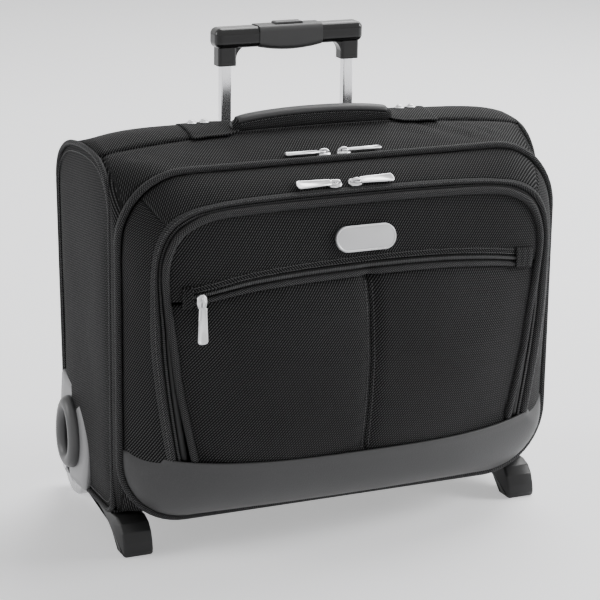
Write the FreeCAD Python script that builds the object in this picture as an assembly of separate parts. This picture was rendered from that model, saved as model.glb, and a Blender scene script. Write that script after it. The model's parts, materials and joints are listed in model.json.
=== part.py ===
import FreeCAD, Part
import math
import os

# Rolling laptop case: a soft-sided case on two wheels and two feet, with a zipped front
# section, a zipped organiser flap on it, a telescoping handle and a padded carry handle.
# Millimetres. +Z is up, the front faces -Y, the wheels are at the back (+Y) corners.
# The origin is on the floor, under the middle of the whole object.

V = FreeCAD.Vector
X_AXIS = V(1, 0, 0)
Y_AXIS = V(0, 1, 0)
Z_AXIS = V(0, 0, 1)

# ---- driving dimensions ----
case_width = 420.0          # over the two side panels
shell_bottom_z = 33.0       # underside of the case above the floor
side_top_z = 355.0          # top edge of the side panels
top_crown = 10.0            # rise of the top panel in its middle
shell_front_y = -40.0       # front edge of the side panels
back_bottom_y = 87.0        # outer face of the rear panel, at the bottom
back_top_y = back_bottom_y + 13.0    # outer face of the rear panel, at the top
shell_wall = 4.0            # padded fabric over board
side_wall = 4.5
side_corner = 36.0          # top front corner of a side panel
rear_corner = 36.0          # its top rear corner
rear_turn_end = 84.0        # lean of the top panel where it meets the rear panel, degrees
side_corner_small = 14.0    # its lower corners
cord_r = 2.6                # piping cord
seam_gap = 0.3              # clearance between separate soft pieces

# front section
lid_half_width = case_width / 2 + 1.0
lid_bottom_z = 34.0
lid_top_z = 348.0
lid_corner = 60.0
gusset_front_y = -58.0
zip_tape_depth = 3.0
zip_tape_wall = 2.0
lid_y = -66.5               # centre of the outer piping
lid_wall = 3.0
lid_cord_r = 3.2

# organiser flap
flap_half_width = lid_half_width - 17.0    # at the top; the sides draw in towards the bottom
flap_low_half_width = lid_half_width - 35.0
flap_bottom_z = 76.0
flap_top_z = 329.0
flap_corner_top = 52.0
flap_corner_bottom = 40.0
flap_edge_y = -98.0
pocket_tape_inset = 3.3      # pocket zip tape, inside the edge of the front section
pocket_tape_width = 10.5
flap_cord_inset = 14.0      # middle of the flap's own piping
flap_cord_r = 2.5
flap_inset = 17.0           # edge of the flap's panels
belly_y = -134.0
belly_inset = 62.0          # the belly's outline inside the organiser's, at the sides and top
belly_low_z = 100.0
face_top_step = 2.5         # the upper face starts this far in front of the organiser edge
face_lean = 16.5            # and comes this much further forward at the slash pocket
band_top_z = 92.0
band_side_rise = 11.0
slash_z = 261.0
slash_drop = 13.0
slash_half_length = lid_half_width - 44.0
badge_width = 57.0
badge_height = 24.0
badge_z = 287.6
badge_thick = 2.2

# wheels, housings and feet
wheel_r = 31.0
wheel_width = 20.0
wheel_outer_x = case_width / 2 - 12.0
wheel_y = back_bottom_y + 19.5
hub_r = 20.0
axle_r = 3.0
running_gap = 0.06
wheel_gap = 3.2
housing_wall = 2.8
housing_top_z = 132.0
housing_front_y = 18.0
guard_stand_out = 8.0
cheek_rise = 26.0           # top of the axle cheeks above the axle
foot_inner_x = case_width / 2 - 29.0
foot_outer_x = case_width / 2 - 1.0
foot_front_y = -67.5
foot_pad_depth = 20.0
foot_back_y = 33.0

# telescoping handle
tube_x = 61.6
tube_y = back_bottom_y - 25.5
inner_tube = (10.4, 8.4)
tube_wall = 0.9
tube_gap = 0.35
collar_depth = 12.0         # collar below and above the end of the outer tube
collar_rise = 6.0
post_bottom_z = 414.0
inner_tube_bottom_z = 104.0
middle_tube_bottom_z = 58.0
outer_tube_bottom_z = 46.0
outer_tube_top_z = 349.0
grip_half_length = 74.0
grip_depth = 21.0
grip_top_z = 449.0
grip_bottom_z = 430.0
post_width = inner_tube[0] + 7.6
post_depth = inner_tube[1] + 6.6
sleeve_half_length = 31.5
button_length = 27.0
button_depth = 11.0
button_proud = 3.0
button_travel = 3.0

# carry handle
handle_half_length = 82.0
handle_y = 0.5
handle_thick = 13.0
handle_axis_z = 374.5
handle_crown_z = 388.0
rivet_x = (98.0, 110.0)
rivet_y = 21.5

# zip sliders and pullers
slider_length = 12.0
slider_width = 9.0
slider_base = 3.0
bridge_length = 8.0
bridge_width = 2.4
bridge_wall = 1.3
eye_bar_r = 0.75
eye_gap = 0.35
puller_length = 37.0
puller_width = 10.0
puller_thick = 1.8
outer_slider_x = 9.5
inner_slider_x = 9.5
slider_centre_x = (-4.0, -12.0)
slash_slider_x = 10.0 - slash_half_length

half_width = case_width / 2
panel_half = half_width - side_wall
back_slope = (back_top_y - back_bottom_y) / (side_top_z - shell_bottom_z)


def box(x0, x1, y0, y1, z0, z1):
    return Part.makeBox(x1 - x0, y1 - y0, z1 - z0, V(x0, y0, z0))


def mirrored(shape):
    return shape.mirror(V(0, 0, 0), X_AXIS)


def cylinder_x(x0, x1, y, z, radius):
    return Part.makeCylinder(radius, x1 - x0, V(x0, y, z), X_AXIS)


def group(shapes):
    return Part.makeCompound(list(shapes))


def prism_x(points, x0, x1):
    """Extrude an outline of (y, z) points from x0 to x1."""
    wire = Part.makePolygon([V(x0, y, z) for y, z in points + points[:1]])
    return Part.Face(wire).extrude(V(x1 - x0, 0, 0))


def back_y(z):
    """Outer face of the sloping rear panel at height z."""
    return back_bottom_y + back_slope * (z - shell_bottom_z)


def round_wire(corners, radii, place):
    """Closed wire through corner points, each rounded by its own radius, in a plane.

    corners are (a, b) pairs in turn, and place(a, b) puts a pair in space.
    """
    edges = []
    ends = []
    count = len(corners)
    for index, (a, b) in enumerate(corners):
        before = corners[index - 1]
        after = corners[(index + 1) % count]
        into = (before[0] - a, before[1] - b)
        out = (after[0] - a, after[1] - b)
        into_length = math.hypot(*into)
        out_length = math.hypot(*out)
        u = (into[0] / into_length, into[1] / into_length)
        w = (out[0] / out_length, out[1] / out_length)
        half_angle = math.acos(u[0] * w[0] + u[1] * w[1]) / 2
        radius = radii[index]
        reach = radius / math.tan(half_angle)
        start = (a + u[0] * reach, b + u[1] * reach)
        end = (a + w[0] * reach, b + w[1] * reach)
        bisector = (u[0] + w[0], u[1] + w[1])
        bisector_length = math.hypot(*bisector)
        to_centre = radius / math.sin(half_angle)
        depth = to_centre - radius
        middle = (a + bisector[0] / bisector_length * depth,
                  b + bisector[1] / bisector_length * depth)
        ends.append((start, middle, end))
    for index, (start, middle, end) in enumerate(ends):
        previous_end = ends[index - 1][2]
        if math.hypot(start[0] - previous_end[0], start[1] - previous_end[1]) > 1e-4:
            edges.append(Part.LineSegment(place(*previous_end), place(*start)).toShape())
        edges.append(Part.Arc(place(*start), place(*middle), place(*end)).toShape())
    return Part.Wire(Part.__sortEdges__(edges))


def lid_outline(y, inset=0.0):
    """Rounded outline of the front section in the plane y, pulled in by inset."""
    half = lid_half_width - inset
    low = lid_bottom_z + inset
    high = lid_top_z - inset
    corners = [(-half, low), (half, low), (half, high), (-half, high)]
    radii = [lid_corner - inset] * 4
    return round_wire(corners, radii, lambda a, b: V(a, y, b))


def flap_outline(y, inset=0.0):
    """Rounded outline of the organiser in the plane y, pulled in by inset."""
    half = flap_half_width - inset
    low_half = flap_low_half_width - inset
    low = flap_bottom_z + inset
    high = flap_top_z - inset
    corners = [(-low_half, low), (low_half, low), (half, high), (-half, high)]
    low_r = flap_corner_bottom - inset / 2
    high_r = flap_corner_top - inset / 2
    return round_wire(corners, [low_r, low_r, high_r, high_r], lambda a, b: V(a, y, b))


def side_outline(x, inset=0.0):
    """Outline of a side panel in the plane x, pulled in by inset."""
    low = shell_bottom_z + inset
    high = side_top_z - inset
    front = shell_front_y + inset
    corners = [(front, low), (back_y(low) - inset, low), (back_y(high) - inset, high), (front, high)]
    small = side_corner_small - inset
    radii = [small, small, rear_corner - inset, side_corner - inset]
    return round_wire(corners, radii, lambda a, b: V(x, a, b))


def ring(outline, y0, y1, outer_inset, inner_inset):
    """Wall between two insets of one outline, from y0 to y1."""
    outer = Part.Face(outline(y0, outer_inset)).extrude(V(0, y1 - y0, 0))
    inner = Part.Face(outline(y0, inner_inset)).extrude(V(0, y1 - y0, 0))
    return outer.cut(inner)


def loft(wires):
    return Part.makeLoft(wires, True, True)


def pipe(wire, radius):
    """Round cord along a closed wire of lines and tangent arcs."""
    edge = wire.Edges[0]
    first = edge.FirstParameter
    centre = edge.valueAt(first)
    circle = Part.Wire(Part.Circle(centre, edge.tangentAt(first), radius).toShape())
    return wire.makePipeShell([circle], True, False)


# ---- shell of the case ----
def cheek_y():
    """Front edge of the cheeks that carry a wheel's axle."""
    return back_y(shell_bottom_z) - 16


def wheel_room(side):
    """Space that the shell leaves for a wheel housing."""
    inner_x = wheel_outer_x - wheel_width - wheel_gap - housing_wall - seam_gap
    reach = wheel_r + wheel_gap + housing_wall + seam_gap
    room = cylinder_x(inner_x, half_width + 20, wheel_y, wheel_r, reach)
    cheek = box(inner_x, half_width + 20, cheek_y() - 3 - seam_gap, wheel_y + reach,
                0, wheel_r + cheek_rise + seam_gap)
    room = room.fuse(cheek)
    return room if side > 0 else mirrored(room)


def side_panel(side):
    face = Part.Face(side_outline(panel_half, 2 * cord_r + seam_gap))
    panel = face.extrude(V(side_wall, 0, 0)).cut(wheel_room(1))
    return panel if side > 0 else mirrored(panel)


def side_piping(side):
    cord = pipe(side_outline(half_width - cord_r + 0.6, cord_r), cord_r).cut(wheel_room(1))
    cord = cord.cut(wheel_housing_block())
    return cord if side > 0 else mirrored(cord)


def crown_section(y, z, lean, rise, half):
    """Arched strip across the top, at (y, z) and leaning back by lean degrees."""
    out = V(0, math.sin(math.radians(lean)), math.cos(math.radians(lean)))
    left = V(-half, y, z)
    right = V(half, y, z)
    low_left = left - out * shell_wall
    low_right = right - out * shell_wall
    crown = V(0, y, z) + out * rise
    edges = [
        Part.Arc(left, crown, right).toShape(),
        Part.LineSegment(right, low_right).toShape(),
        Part.Arc(low_right, crown - out * shell_wall, low_left).toShape(),
        Part.LineSegment(low_left, left).toShape(),
    ]
    return Part.Wire(edges)


def rear_turn(lean):
    """Point (y, z) of the round top rear corner, where the shell leans back by lean degrees."""
    centre_y = back_y(side_top_z) - rear_corner - 1
    centre_z = side_top_z - rear_corner
    angle = math.radians(lean)
    return centre_y + rear_corner * math.sin(angle), centre_z + rear_corner * math.cos(angle)


def corner_form():
    """Shell form behind the gusset: round front corners that run out towards the back."""
    high = side_top_z + top_crown + 1
    square = [(-half_width, 0), (half_width, 0), (half_width, high), (-half_width, high)]
    back = round_wire(square, [20.0] * 4, lambda a, b: V(a, shell_front_y + 34, b))
    tall = lid_top_z + 8
    near = [(-lid_half_width, 0), (lid_half_width, 0), (lid_half_width, tall), (-lid_half_width, tall)]
    front = round_wire(near, [lid_corner] * 4, lambda a, b: V(a, shell_front_y - 1, b))
    return loft([front, back]).fuse(Part.Face(back).extrude(V(0, 200, 0)))


def top_panel():
    half = panel_half - seam_gap
    sections = [
        crown_section(shell_front_y, side_top_z - 3.5, 0, 4.5, half),
        crown_section(shell_front_y + 32, side_top_z, 0, top_crown, half),
        crown_section(rivet_y, side_top_z, 0, top_crown - 1, half),
        crown_section(*rear_turn(0), 0, top_crown / 12, half),
        crown_section(*rear_turn(30), 30, top_crown / 12, half),
        crown_section(*rear_turn(60), 60, top_crown / 12, half),
        crown_section(*rear_turn(rear_turn_end), rear_turn_end, top_crown / 12, half),
    ]
    panel = loft(sections).common(corner_form())
    for side in (-1, 1):
        panel = panel.cut(collar_body(side, seam_gap, top_crown))
    return panel


def bottom_panel():
    half = panel_half - seam_gap
    panel = box(-half, half, shell_front_y, back_bottom_y, shell_bottom_z, shell_bottom_z + shell_wall)
    return panel.cut(wheel_room(1)).cut(wheel_room(-1))


def rear_panel():
    half = panel_half - seam_gap
    low = shell_bottom_z + shell_wall + seam_gap
    high = rear_turn(rear_turn_end)[1] - 3 * seam_gap
    outline = [(back_y(low), low), (back_y(high), high),
               (back_y(high) - shell_wall, high), (back_y(low) - shell_wall, low)]
    panel = prism_x(outline, -half, half)
    return panel.cut(wheel_room(1)).cut(wheel_room(-1))


def front_gusset():
    return ring(lid_outline, gusset_front_y, shell_front_y - seam_gap, 0.0, lid_wall)


def zip_run(y0, y1, stand_out):
    """Zip tape round the top and sides of the front section, open along the bottom."""
    whole = ring(lid_outline, y0, y1, -stand_out, zip_tape_wall)
    low = lid_bottom_z + lid_corner / 2
    return whole.cut(box(-300, 300, y0 - 1, y1 + 1, 0, low))


def main_zip_tape():
    return zip_run(gusset_front_y - zip_tape_depth, gusset_front_y - seam_gap, 0.6)


def hinge_strip():
    y0 = gusset_front_y + 1
    strip = box(-148, 148, y0, y0 + 14, lid_bottom_z - 7.5, lid_bottom_z - seam_gap - 1)
    return strip.makeFillet(1.5, [e for e in strip.Edges if e.Length > 200])


# ---- handle frame inside the case ----
def tube_pair(outer, bottom_z, top_z, bore=None):
    """Two rectangular tubes, or solid bars when bore is None."""
    shapes = []
    for side in (-1, 1):
        x = side * tube_x
        tube = box(x - outer[0] / 2, x + outer[0] / 2, tube_y - outer[1] / 2, tube_y + outer[1] / 2,
                   bottom_z, top_z)
        upright = [e for e in tube.Edges if abs(e.Length - (top_z - bottom_z)) < 1e-6]
        tube = tube.makeFillet(1.6, upright)
        if bore:
            tube = tube.cut(box(x - bore[0] / 2, x + bore[0] / 2, tube_y - bore[1] / 2,
                                tube_y + bore[1] / 2, bottom_z - 1, top_z + 1))
        shapes.append(tube)
    return shapes


def tube_size(stage):
    """Outer size of the tubes: stage 0 is the thin inner tube, 2 the outer one."""
    grow = stage * 2 * (tube_wall + tube_gap)
    return (inner_tube[0] + grow, inner_tube[1] + grow)


def tube_bore(stage):
    size = tube_size(stage)
    return (size[0] - 2 * tube_wall, size[1] - 2 * tube_wall)


def outer_tubes():
    return group(tube_pair(tube_size(2), outer_tube_bottom_z, outer_tube_top_z, tube_bore(2)))


def tube_base_bracket():
    size = tube_size(2)
    low = shell_bottom_z + shell_wall
    bracket = box(-tube_x - 16, tube_x + 16, tube_y - size[1] / 2 - 3, tube_y + size[1] / 2 + 3,
                  low, outer_tube_bottom_z)
    return bracket.makeFillet(2.0, [e for e in bracket.Edges if abs(e.tangentAt(0).z) > 0.9])


def handle_back_board():
    y0 = tube_y + tube_size(2)[1] / 2 + seam_gap
    high = outer_tube_top_z - collar_depth - seam_gap
    return box(-150, 150, y0, y0 + 2.0, outer_tube_bottom_z + seam_gap, high)


def back_lining():
    y1 = tube_y - tube_size(2)[1] / 2 - 3 - seam_gap
    low = shell_bottom_z + shell_wall + seam_gap
    half = panel_half - 1
    lining = box(-half, half, y1 - 2.5, y1, low, side_top_z - 8)
    return lining.cut(collar_body(-1, seam_gap)).cut(collar_body(1, seam_gap))


def laptop_divider():
    half = panel_half - 22
    low = shell_bottom_z + shell_wall + seam_gap
    pad = box(-half, half, 14, 21, low, side_top_z - 70)
    return pad.makeFillet(3.0, [e for e in pad.Edges if e.Length > 100])


def divider_strap():
    """Webbing strap that holds the computer against the padded divider."""
    high = side_top_z - 70
    strap = box(-19, 19, 11.2, 13.7, high - 90, high + 2.6)
    over = box(-19, 19, 11.2, 47, high + 0.3, high + 2.6)
    down = box(-19, 19, 44.7, 47, high - 20, high + 2.6)
    return strap.fuse([over, down]).removeSplitter()


def collar_body(side, grow=0.0, above=0.0):
    """Block round the outer tube's end, grown for its seat and carried on upwards."""
    x = side * tube_x
    size = tube_size(2)
    half_x = size[0] / 2 + 4 + grow
    half_y = size[1] / 2 + 4 + grow
    body = box(x - half_x, x + half_x, tube_y - half_y, tube_y + half_y,
               outer_tube_top_z - collar_depth - grow, outer_tube_top_z + collar_rise + above)
    return body.makeFillet(3.5, [e for e in body.Edges if abs(e.tangentAt(0).z) > 0.9])


def tube_collars():
    shapes = []
    middle = tube_size(1)
    outer = tube_size(2)
    for side in (-1, 1):
        x = side * tube_x
        collar = collar_body(side)
        through = (middle[0] / 2 + 0.3, middle[1] / 2 + 0.3)
        socket = (outer[0] / 2, outer[1] / 2)
        collar = collar.cut(box(x - through[0], x + through[0], tube_y - through[1], tube_y + through[1],
                                300, 400))
        collar = collar.cut(box(x - socket[0], x + socket[0], tube_y - socket[1], tube_y + socket[1],
                                300, outer_tube_top_z))
        shapes.append(collar)
    return group(shapes)


def middle_tubes():
    return group(tube_pair(tube_size(1), middle_tube_bottom_z, outer_tube_top_z - 1, tube_bore(1)))


# ---- sliding handle ----
def inner_tubes():
    return group(tube_pair(inner_tube, inner_tube_bottom_z, grip_bottom_z - 1, tube_bore(0)))


def tube_plugs():
    """Plastic plugs with their lock pins, in the lower ends of the inner tubes."""
    bore = tube_bore(0)
    shapes = []
    for side in (-1, 1):
        x = side * tube_x
        plug = box(x - bore[0] / 2, x + bore[0] / 2, tube_y - bore[1] / 2, tube_y + bore[1] / 2,
                   inner_tube_bottom_z - 2, inner_tube_bottom_z + 14)
        foot = box(x - inner_tube[0] / 2, x + inner_tube[0] / 2, tube_y - inner_tube[1] / 2,
                   tube_y + inner_tube[1] / 2, inner_tube_bottom_z - 4, inner_tube_bottom_z)
        shapes.append(plug.fuse(foot).removeSplitter())
    return group(shapes)


def grip_body():
    half_y = grip_depth / 2
    y0 = tube_y - half_y
    y1 = tube_y + half_y
    bar = box(-grip_half_length, grip_half_length, y0, y1, grip_bottom_z, grip_top_z)
    bar = bar.makeFillet(6.0, bar.Edges)
    waist = sleeve_blank(0.0)
    core = box(-sleeve_half_length, sleeve_half_length, y0 + 3, y1 - 3, grip_bottom_z + 0.5, grip_top_z - 3)
    core = core.makeFillet(3.0, [e for e in core.Edges if e.Length > 2 * sleeve_half_length - 1])
    bar = bar.cut(waist).fuse(core)
    for side in (-1, 1):
        x = side * tube_x
        post = box(x - post_width / 2, x + post_width / 2, tube_y - post_depth / 2, tube_y + post_depth / 2,
                   post_bottom_z, grip_bottom_z + 6)
        post = post.makeFillet(3.0, [e for e in post.Edges if abs(e.tangentAt(0).z) > 0.9])
        inner = x - side * post_width / 2
        web = prism_gusset(inner + side * 0.2, -side)
        bar = bar.fuse([post, web])
    bar = bar.removeSplitter()
    for side in (-1, 1):
        x = side * tube_x
        bar = bar.cut(box(x - inner_tube[0] / 2, x + inner_tube[0] / 2, tube_y - inner_tube[1] / 2,
                          tube_y + inner_tube[1] / 2, post_bottom_z - 1, grip_bottom_z - 1))
        bar = bar.cut(Part.makeCylinder(2.6, 20, V(x, tube_y, grip_bottom_z - 2), Z_AXIS))
    reach = tube_x + 5
    bar = bar.cut(box(-reach, reach, tube_y - 3.2, tube_y + 3.2, linkage_z() - button_travel - 0.5,
                      linkage_z() + 3.3))
    return bar.cut(button_room())


def prism_gusset(x, side):
    """Curved web between a post and the bar, growing from x towards side."""
    reach = 9.0
    top = grip_bottom_z + 2
    low = top - reach - 3
    half = post_depth / 2 - 2
    corner = V(x, tube_y - half, low)
    along = V(x + side * (reach + 3), tube_y - half, top)
    middle = V(x + side * 3.6, tube_y - half, top - 3.6)
    face = Part.Face(Part.Wire([
        Part.LineSegment(V(x, tube_y - half, top), corner).toShape(),
        Part.Arc(corner, middle, along).toShape(),
        Part.LineSegment(along, V(x, tube_y - half, top)).toShape(),
    ]))
    return face.extrude(V(0, 2 * half, 0))


def linkage_z():
    """Underside of the release bar inside the grip."""
    return grip_top_z + button_proud - 14


def button_room():
    gap = 0.3
    return box(-button_length / 2 - gap, button_length / 2 + gap, tube_y - button_depth / 2 - gap,
               tube_y + button_depth / 2 + gap, linkage_z() + 3.3 - button_travel - 0.5, grip_top_z + 10)


def sleeve_blank(grow):
    """Outer form of the rubber sleeve, bellied underneath."""
    half_y = grip_depth / 2 + 0.8 + grow
    half = sleeve_half_length + grow
    low = grip_bottom_z
    belly = 3.4
    top = grip_top_z + 0.8
    section = Part.Face(Part.Wire([
        Part.LineSegment(V(-half, tube_y - half_y, low), V(-half, tube_y - half_y, top)).toShape(),
        Part.LineSegment(V(-half, tube_y - half_y, top), V(half, tube_y - half_y, top)).toShape(),
        Part.LineSegment(V(half, tube_y - half_y, top), V(half, tube_y - half_y, low)).toShape(),
        Part.Arc(V(half, tube_y - half_y, low), V(0, tube_y - half_y, low - belly),
                 V(-half, tube_y - half_y, low)).toShape(),
    ]))
    return section.extrude(V(0, 2 * half_y, 0))


def grip_sleeve():
    sleeve = sleeve_blank(0.0)
    long_edges = [e for e in sleeve.Edges if e.Length > 2 * sleeve_half_length - 1]
    sleeve = sleeve.makeFillet(5.0, long_edges)
    core = box(-sleeve_half_length, sleeve_half_length, tube_y - grip_depth / 2 + 3,
               tube_y + grip_depth / 2 - 3, grip_bottom_z + 0.5, grip_top_z - 3)
    core = core.makeFillet(3.0, [e for e in core.Edges if e.Length > 2 * sleeve_half_length - 1])
    return sleeve.cut(core).cut(button_room())


def push_button():
    low = linkage_z() + 3
    top = grip_top_z + button_proud
    button = box(-button_length / 2, button_length / 2,
                 tube_y - button_depth / 2, tube_y + button_depth / 2,
                 low, top)
    upper = [e for e in button.Edges if e.CenterOfMass.z > top - 0.1]
    return button.makeFillet(1.5, upper)


def release_linkage():
    """Bar under the button with a rod down each inner tube."""
    z0 = linkage_z()
    bar = box(-tube_x - 2.4, tube_x + 2.4, tube_y - 2.4, tube_y + 2.4, z0, z0 + 3)
    rod_bottom = inner_tube_bottom_z + 14 + button_travel + 1
    rods = [Part.makeCylinder(1.8, z0 + 1 - rod_bottom, V(side * tube_x, tube_y, rod_bottom), Z_AXIS)
            for side in (-1, 1)]
    return bar.fuse(rods).removeSplitter()


def button_spring():
    """Return spring as one closed sleeve of its outer size."""
    low = linkage_z() - button_travel - 0.5
    high = linkage_z()
    spring = Part.makeCylinder(2.4, high - low, V(0, tube_y, low), Z_AXIS)
    return spring.cut(Part.makeCylinder(1.7, high - low, V(0, tube_y, low), Z_AXIS))


# ---- front section ----
def lid_panel():
    y0 = lid_y + lid_cord_r + seam_gap - 5.6
    face = Part.Face(lid_outline(y0, 2 * lid_cord_r + seam_gap))
    return face.extrude(V(0, lid_wall, 0))


def lid_zip_tapes():
    """Tape of the main zip behind the piping, and of the organiser's zip round its flap."""
    main_tape = zip_run(lid_y + lid_cord_r + 0.1, gusset_front_y - zip_tape_depth - seam_gap, 0.6)
    pocket_tape = ring(flap_outline, flap_edge_y - seam_gap, flap_edge_y + 1.0, pocket_tape_inset,
                       pocket_tape_inset + pocket_tape_width)
    return group([main_tape, pocket_tape.common(above_band(-seam_gap))])


def lid_piping():
    return pipe(lid_outline(lid_y, lid_cord_r - 2.5), lid_cord_r)


def pocket_form(inset):
    """Wall form from the outer piping to the organiser edge, pulled in by inset."""
    return loft([lid_outline(lid_y - lid_cord_r - seam_gap, 2.0 + inset),
                 flap_outline(flap_edge_y, inset)])


def belly_outline(y, inset=0.0):
    """Outline of the most forward part of the organiser."""
    half = flap_half_width - belly_inset - inset
    low = belly_low_z + inset
    high = flap_top_z - belly_inset - inset
    corners = [(-half, low), (half, low), (half, high), (-half, high)]
    return round_wire(corners, [60.0, 60.0, 40.0, 40.0], lambda a, b: V(a, y, b))


def belly_form(inset):
    """Bulging form of the organiser, in front of its edge."""
    return loft([flap_outline(flap_edge_y, inset), belly_outline(belly_y + inset, inset * 0.4)])


def above_band(drop=0.0):
    """Everything above the smooth band's upper edge, which rises to the sides."""
    low = band_top_z - drop
    outline = [(-160, low), (flap_edge_y - 18, low), (lid_y, low + band_side_rise),
               (0, low + band_side_rise), (0, 420), (-160, 420)]
    return prism_x(outline, -260, 260)


def lid_border():
    shell = pocket_form(0.0).cut(pocket_form(lid_wall))
    opening = Part.Face(flap_outline(flap_edge_y - 5, 3.0)).extrude(V(0, 12, 0))
    return shell.cut(opening).common(above_band())


def smooth_band():
    walls = pocket_form(0.0).cut(pocket_form(lid_wall))
    front = belly_form(0.0).cut(belly_form(lid_wall))
    opening = Part.Face(flap_outline(flap_edge_y - 5, 3.0)).extrude(V(0, 12, 0))
    band = walls.cut(opening).fuse(front).removeSplitter()
    return band.cut(above_band(seam_gap))


def flap_side_outline(y, inset):
    """Outline of the flap in the plane y, running straight down past the band."""
    half = flap_half_width - inset
    low_half = flap_low_half_width - inset
    high = flap_top_z - inset
    corners = [(-low_half, flap_bottom_z), (low_half, flap_bottom_z), (half, high), (-half, high)]
    corner = flap_corner_top - inset / 2
    return round_wire(corners, [10.0, 10.0, corner, corner], lambda a, b: V(a, y, b))


def flap_piping():
    """Piping round the flap, ending at the band."""
    cord = pipe(flap_side_outline(flap_edge_y - flap_cord_r - 1, flap_cord_inset), flap_cord_r)
    return cord.common(above_band(-2.0))


def flap_room():
    """Space of the flap's panels, inside its piping and above the band."""
    outline = flap_side_outline(belly_y - 10, flap_inset)
    return Part.Face(outline).extrude(V(0, 60, 0)).common(above_band(-seam_gap))


def upper_cut():
    """Space in front of the upper face, which leans back above the slash pocket."""
    top_y = flap_edge_y - face_top_step
    low_y = top_y - face_lean
    outline = [(top_y, flap_top_z + 10), (top_y, flap_top_z - 2),
               (low_y, slash_z), (low_y - 1.5, slash_z - 21),
               (low_y - 6.5, slash_z - 55), (belly_y, slash_z - 71), (belly_y - 20, slash_z - 71),
               (belly_y - 20, flap_top_z + 10)]
    return prism_x(outline, -260, 260)


def flap_solid():
    outer = loft([flap_outline(flap_edge_y - seam_gap, 3.4), belly_outline(belly_y)])
    return outer.common(flap_room()).cut(upper_cut())


def flap_hollow():
    solid = flap_solid()
    inner = solid.copy()
    inner.translate(V(0, lid_wall + 0.5, 0))
    return solid.cut(inner)


def flap_panels():
    """Front face of the organiser: one upper panel and two padded lower panels."""
    face = flap_hollow()
    split = slash_z - 4
    upper = face.common(box(-300, 300, -200, 0, split + seam_gap, 400))
    left = face.common(box(-300, -seam_gap / 2, -200, 0, 0, split))
    right = face.common(box(seam_gap / 2, 300, -200, 0, 0, split))
    return upper, left, right


def face_y(z):
    """Outer face of the flap in its middle at height z, above the slash pocket."""
    share = (flap_top_z - 2 - z) / (flap_top_z - 2 - slash_z)
    return flap_edge_y - face_top_step - face_lean * share


def on_face(shape, z):
    """Lay a shape built flat about the origin (facing -Y) on the leaning upper face."""
    rise = flap_top_z - 2 - slash_z
    lean = math.degrees(math.atan2(face_lean, rise))
    shape.rotate(V(0, 0, 0), X_AXIS, -lean)
    shape.translate(V(0, face_y(z), z))
    return shape


def badge():
    half = badge_width / 2 - badge_height / 2
    radius = badge_height / 2
    wire = Part.Wire([
        Part.LineSegment(V(-half, 0, -radius), V(half, 0, -radius)).toShape(),
        Part.Arc(V(half, 0, -radius), V(half + radius, 0, 0), V(half, 0, radius)).toShape(),
        Part.LineSegment(V(half, 0, radius), V(-half, 0, radius)).toShape(),
        Part.Arc(V(-half, 0, radius), V(-half - radius, 0, 0), V(-half, 0, -radius)).toShape(),
    ])
    plate = Part.Face(wire).extrude(V(0, -badge_thick, 0))
    plate.translate(V(0, -0.05, 0))
    front = [e for e in plate.Edges if e.CenterOfMass.y < -badge_thick + 0.1]
    plate = plate.makeFillet(0.7, front)
    return on_face(plate, badge_z)


def slash_zip():
    """Zip tape of the slash pocket, with its coil, as one flat strip."""
    strip = box(-slash_half_length, slash_half_length, -1.2, -0.05, -4, 4)
    return on_face(strip, slash_z + 4.5)


def slash_welt():
    strip = box(-slash_half_length, slash_half_length, -2.4, -0.05, -2.4, 2.4)
    strip = strip.makeFillet(0.8, [e for e in strip.Edges if e.Length > 100])
    return on_face(strip, slash_z + 11.4)


# ---- rolling gear ----
def housing_plate():
    """Arched cover plate on the side of the case."""
    x0 = half_width + 0.3
    top_back = (back_y(housing_top_z), housing_top_z)
    low = shell_bottom_z - 3
    start = V(x0, top_back[0] - 12, top_back[1])
    edges = [
        Part.LineSegment(V(x0, top_back[0], top_back[1]), start).toShape(),
        Part.Arc(start, V(x0, housing_front_y + 8, 104), V(x0, housing_front_y, 76)).toShape(),
        Part.LineSegment(V(x0, housing_front_y, 76), V(x0, housing_front_y + 9, low)).toShape(),
        Part.LineSegment(V(x0, housing_front_y + 9, low), V(x0, back_y(low) + 2, low)).toShape(),
        Part.LineSegment(V(x0, back_y(low) + 2, low), V(x0, top_back[0], top_back[1])).toShape(),
    ]
    return Part.Face(Part.Wire(edges)).extrude(V(housing_wall, 0, 0))


def wheel_housing_block():
    """Solid space that a wheel housing takes on the side of the case."""
    plate = housing_plate()
    block = plate.copy()
    block.translate(V(-housing_wall, 0, 0))
    return plate.fuse(block)


def oval(x, y, z, half_height, half_depth):
    """Upright ellipse in the plane x."""
    ellipse = Part.Ellipse(V(x, y, z + half_height), V(x, y + half_depth, z), V(x, y, z))
    return Part.Wire(ellipse.toShape())


def guard_ring():
    """Raised egg-shaped bumper on the cover plate, leaning back towards the axle."""
    x1 = half_width + 0.3 + housing_wall
    centre_y = wheel_y - 44.0
    centre_z = wheel_r + 48.0
    foot_oval = oval(x1 - 1, centre_y, centre_z, 37.0, 33.0)
    top_oval = oval(x1 + guard_stand_out, centre_y, centre_z, 32.0, 28.0)
    return loft([foot_oval, top_oval])


def guard_eye():
    """Opening through the bumper, over the wheel."""
    wire = oval(half_width - 15, wheel_y - 36.0, wheel_r + 43.0, 20.0, 13.0)
    return Part.Face(wire).extrude(V(60, 0, 0))


def axle_arm(x0, x1):
    """Cheek from the cover plate back to the axle."""
    round_end = cylinder_x(x0, x1, wheel_y, wheel_r, 9.0)
    front_y = cheek_y()
    outline = [(wheel_y, wheel_r + 9), (front_y, wheel_r + cheek_rise), (front_y, wheel_r - 4),
               (wheel_y, wheel_r - 9)]
    return prism_x(outline, x0, x1).fuse(round_end).removeSplitter()


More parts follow.
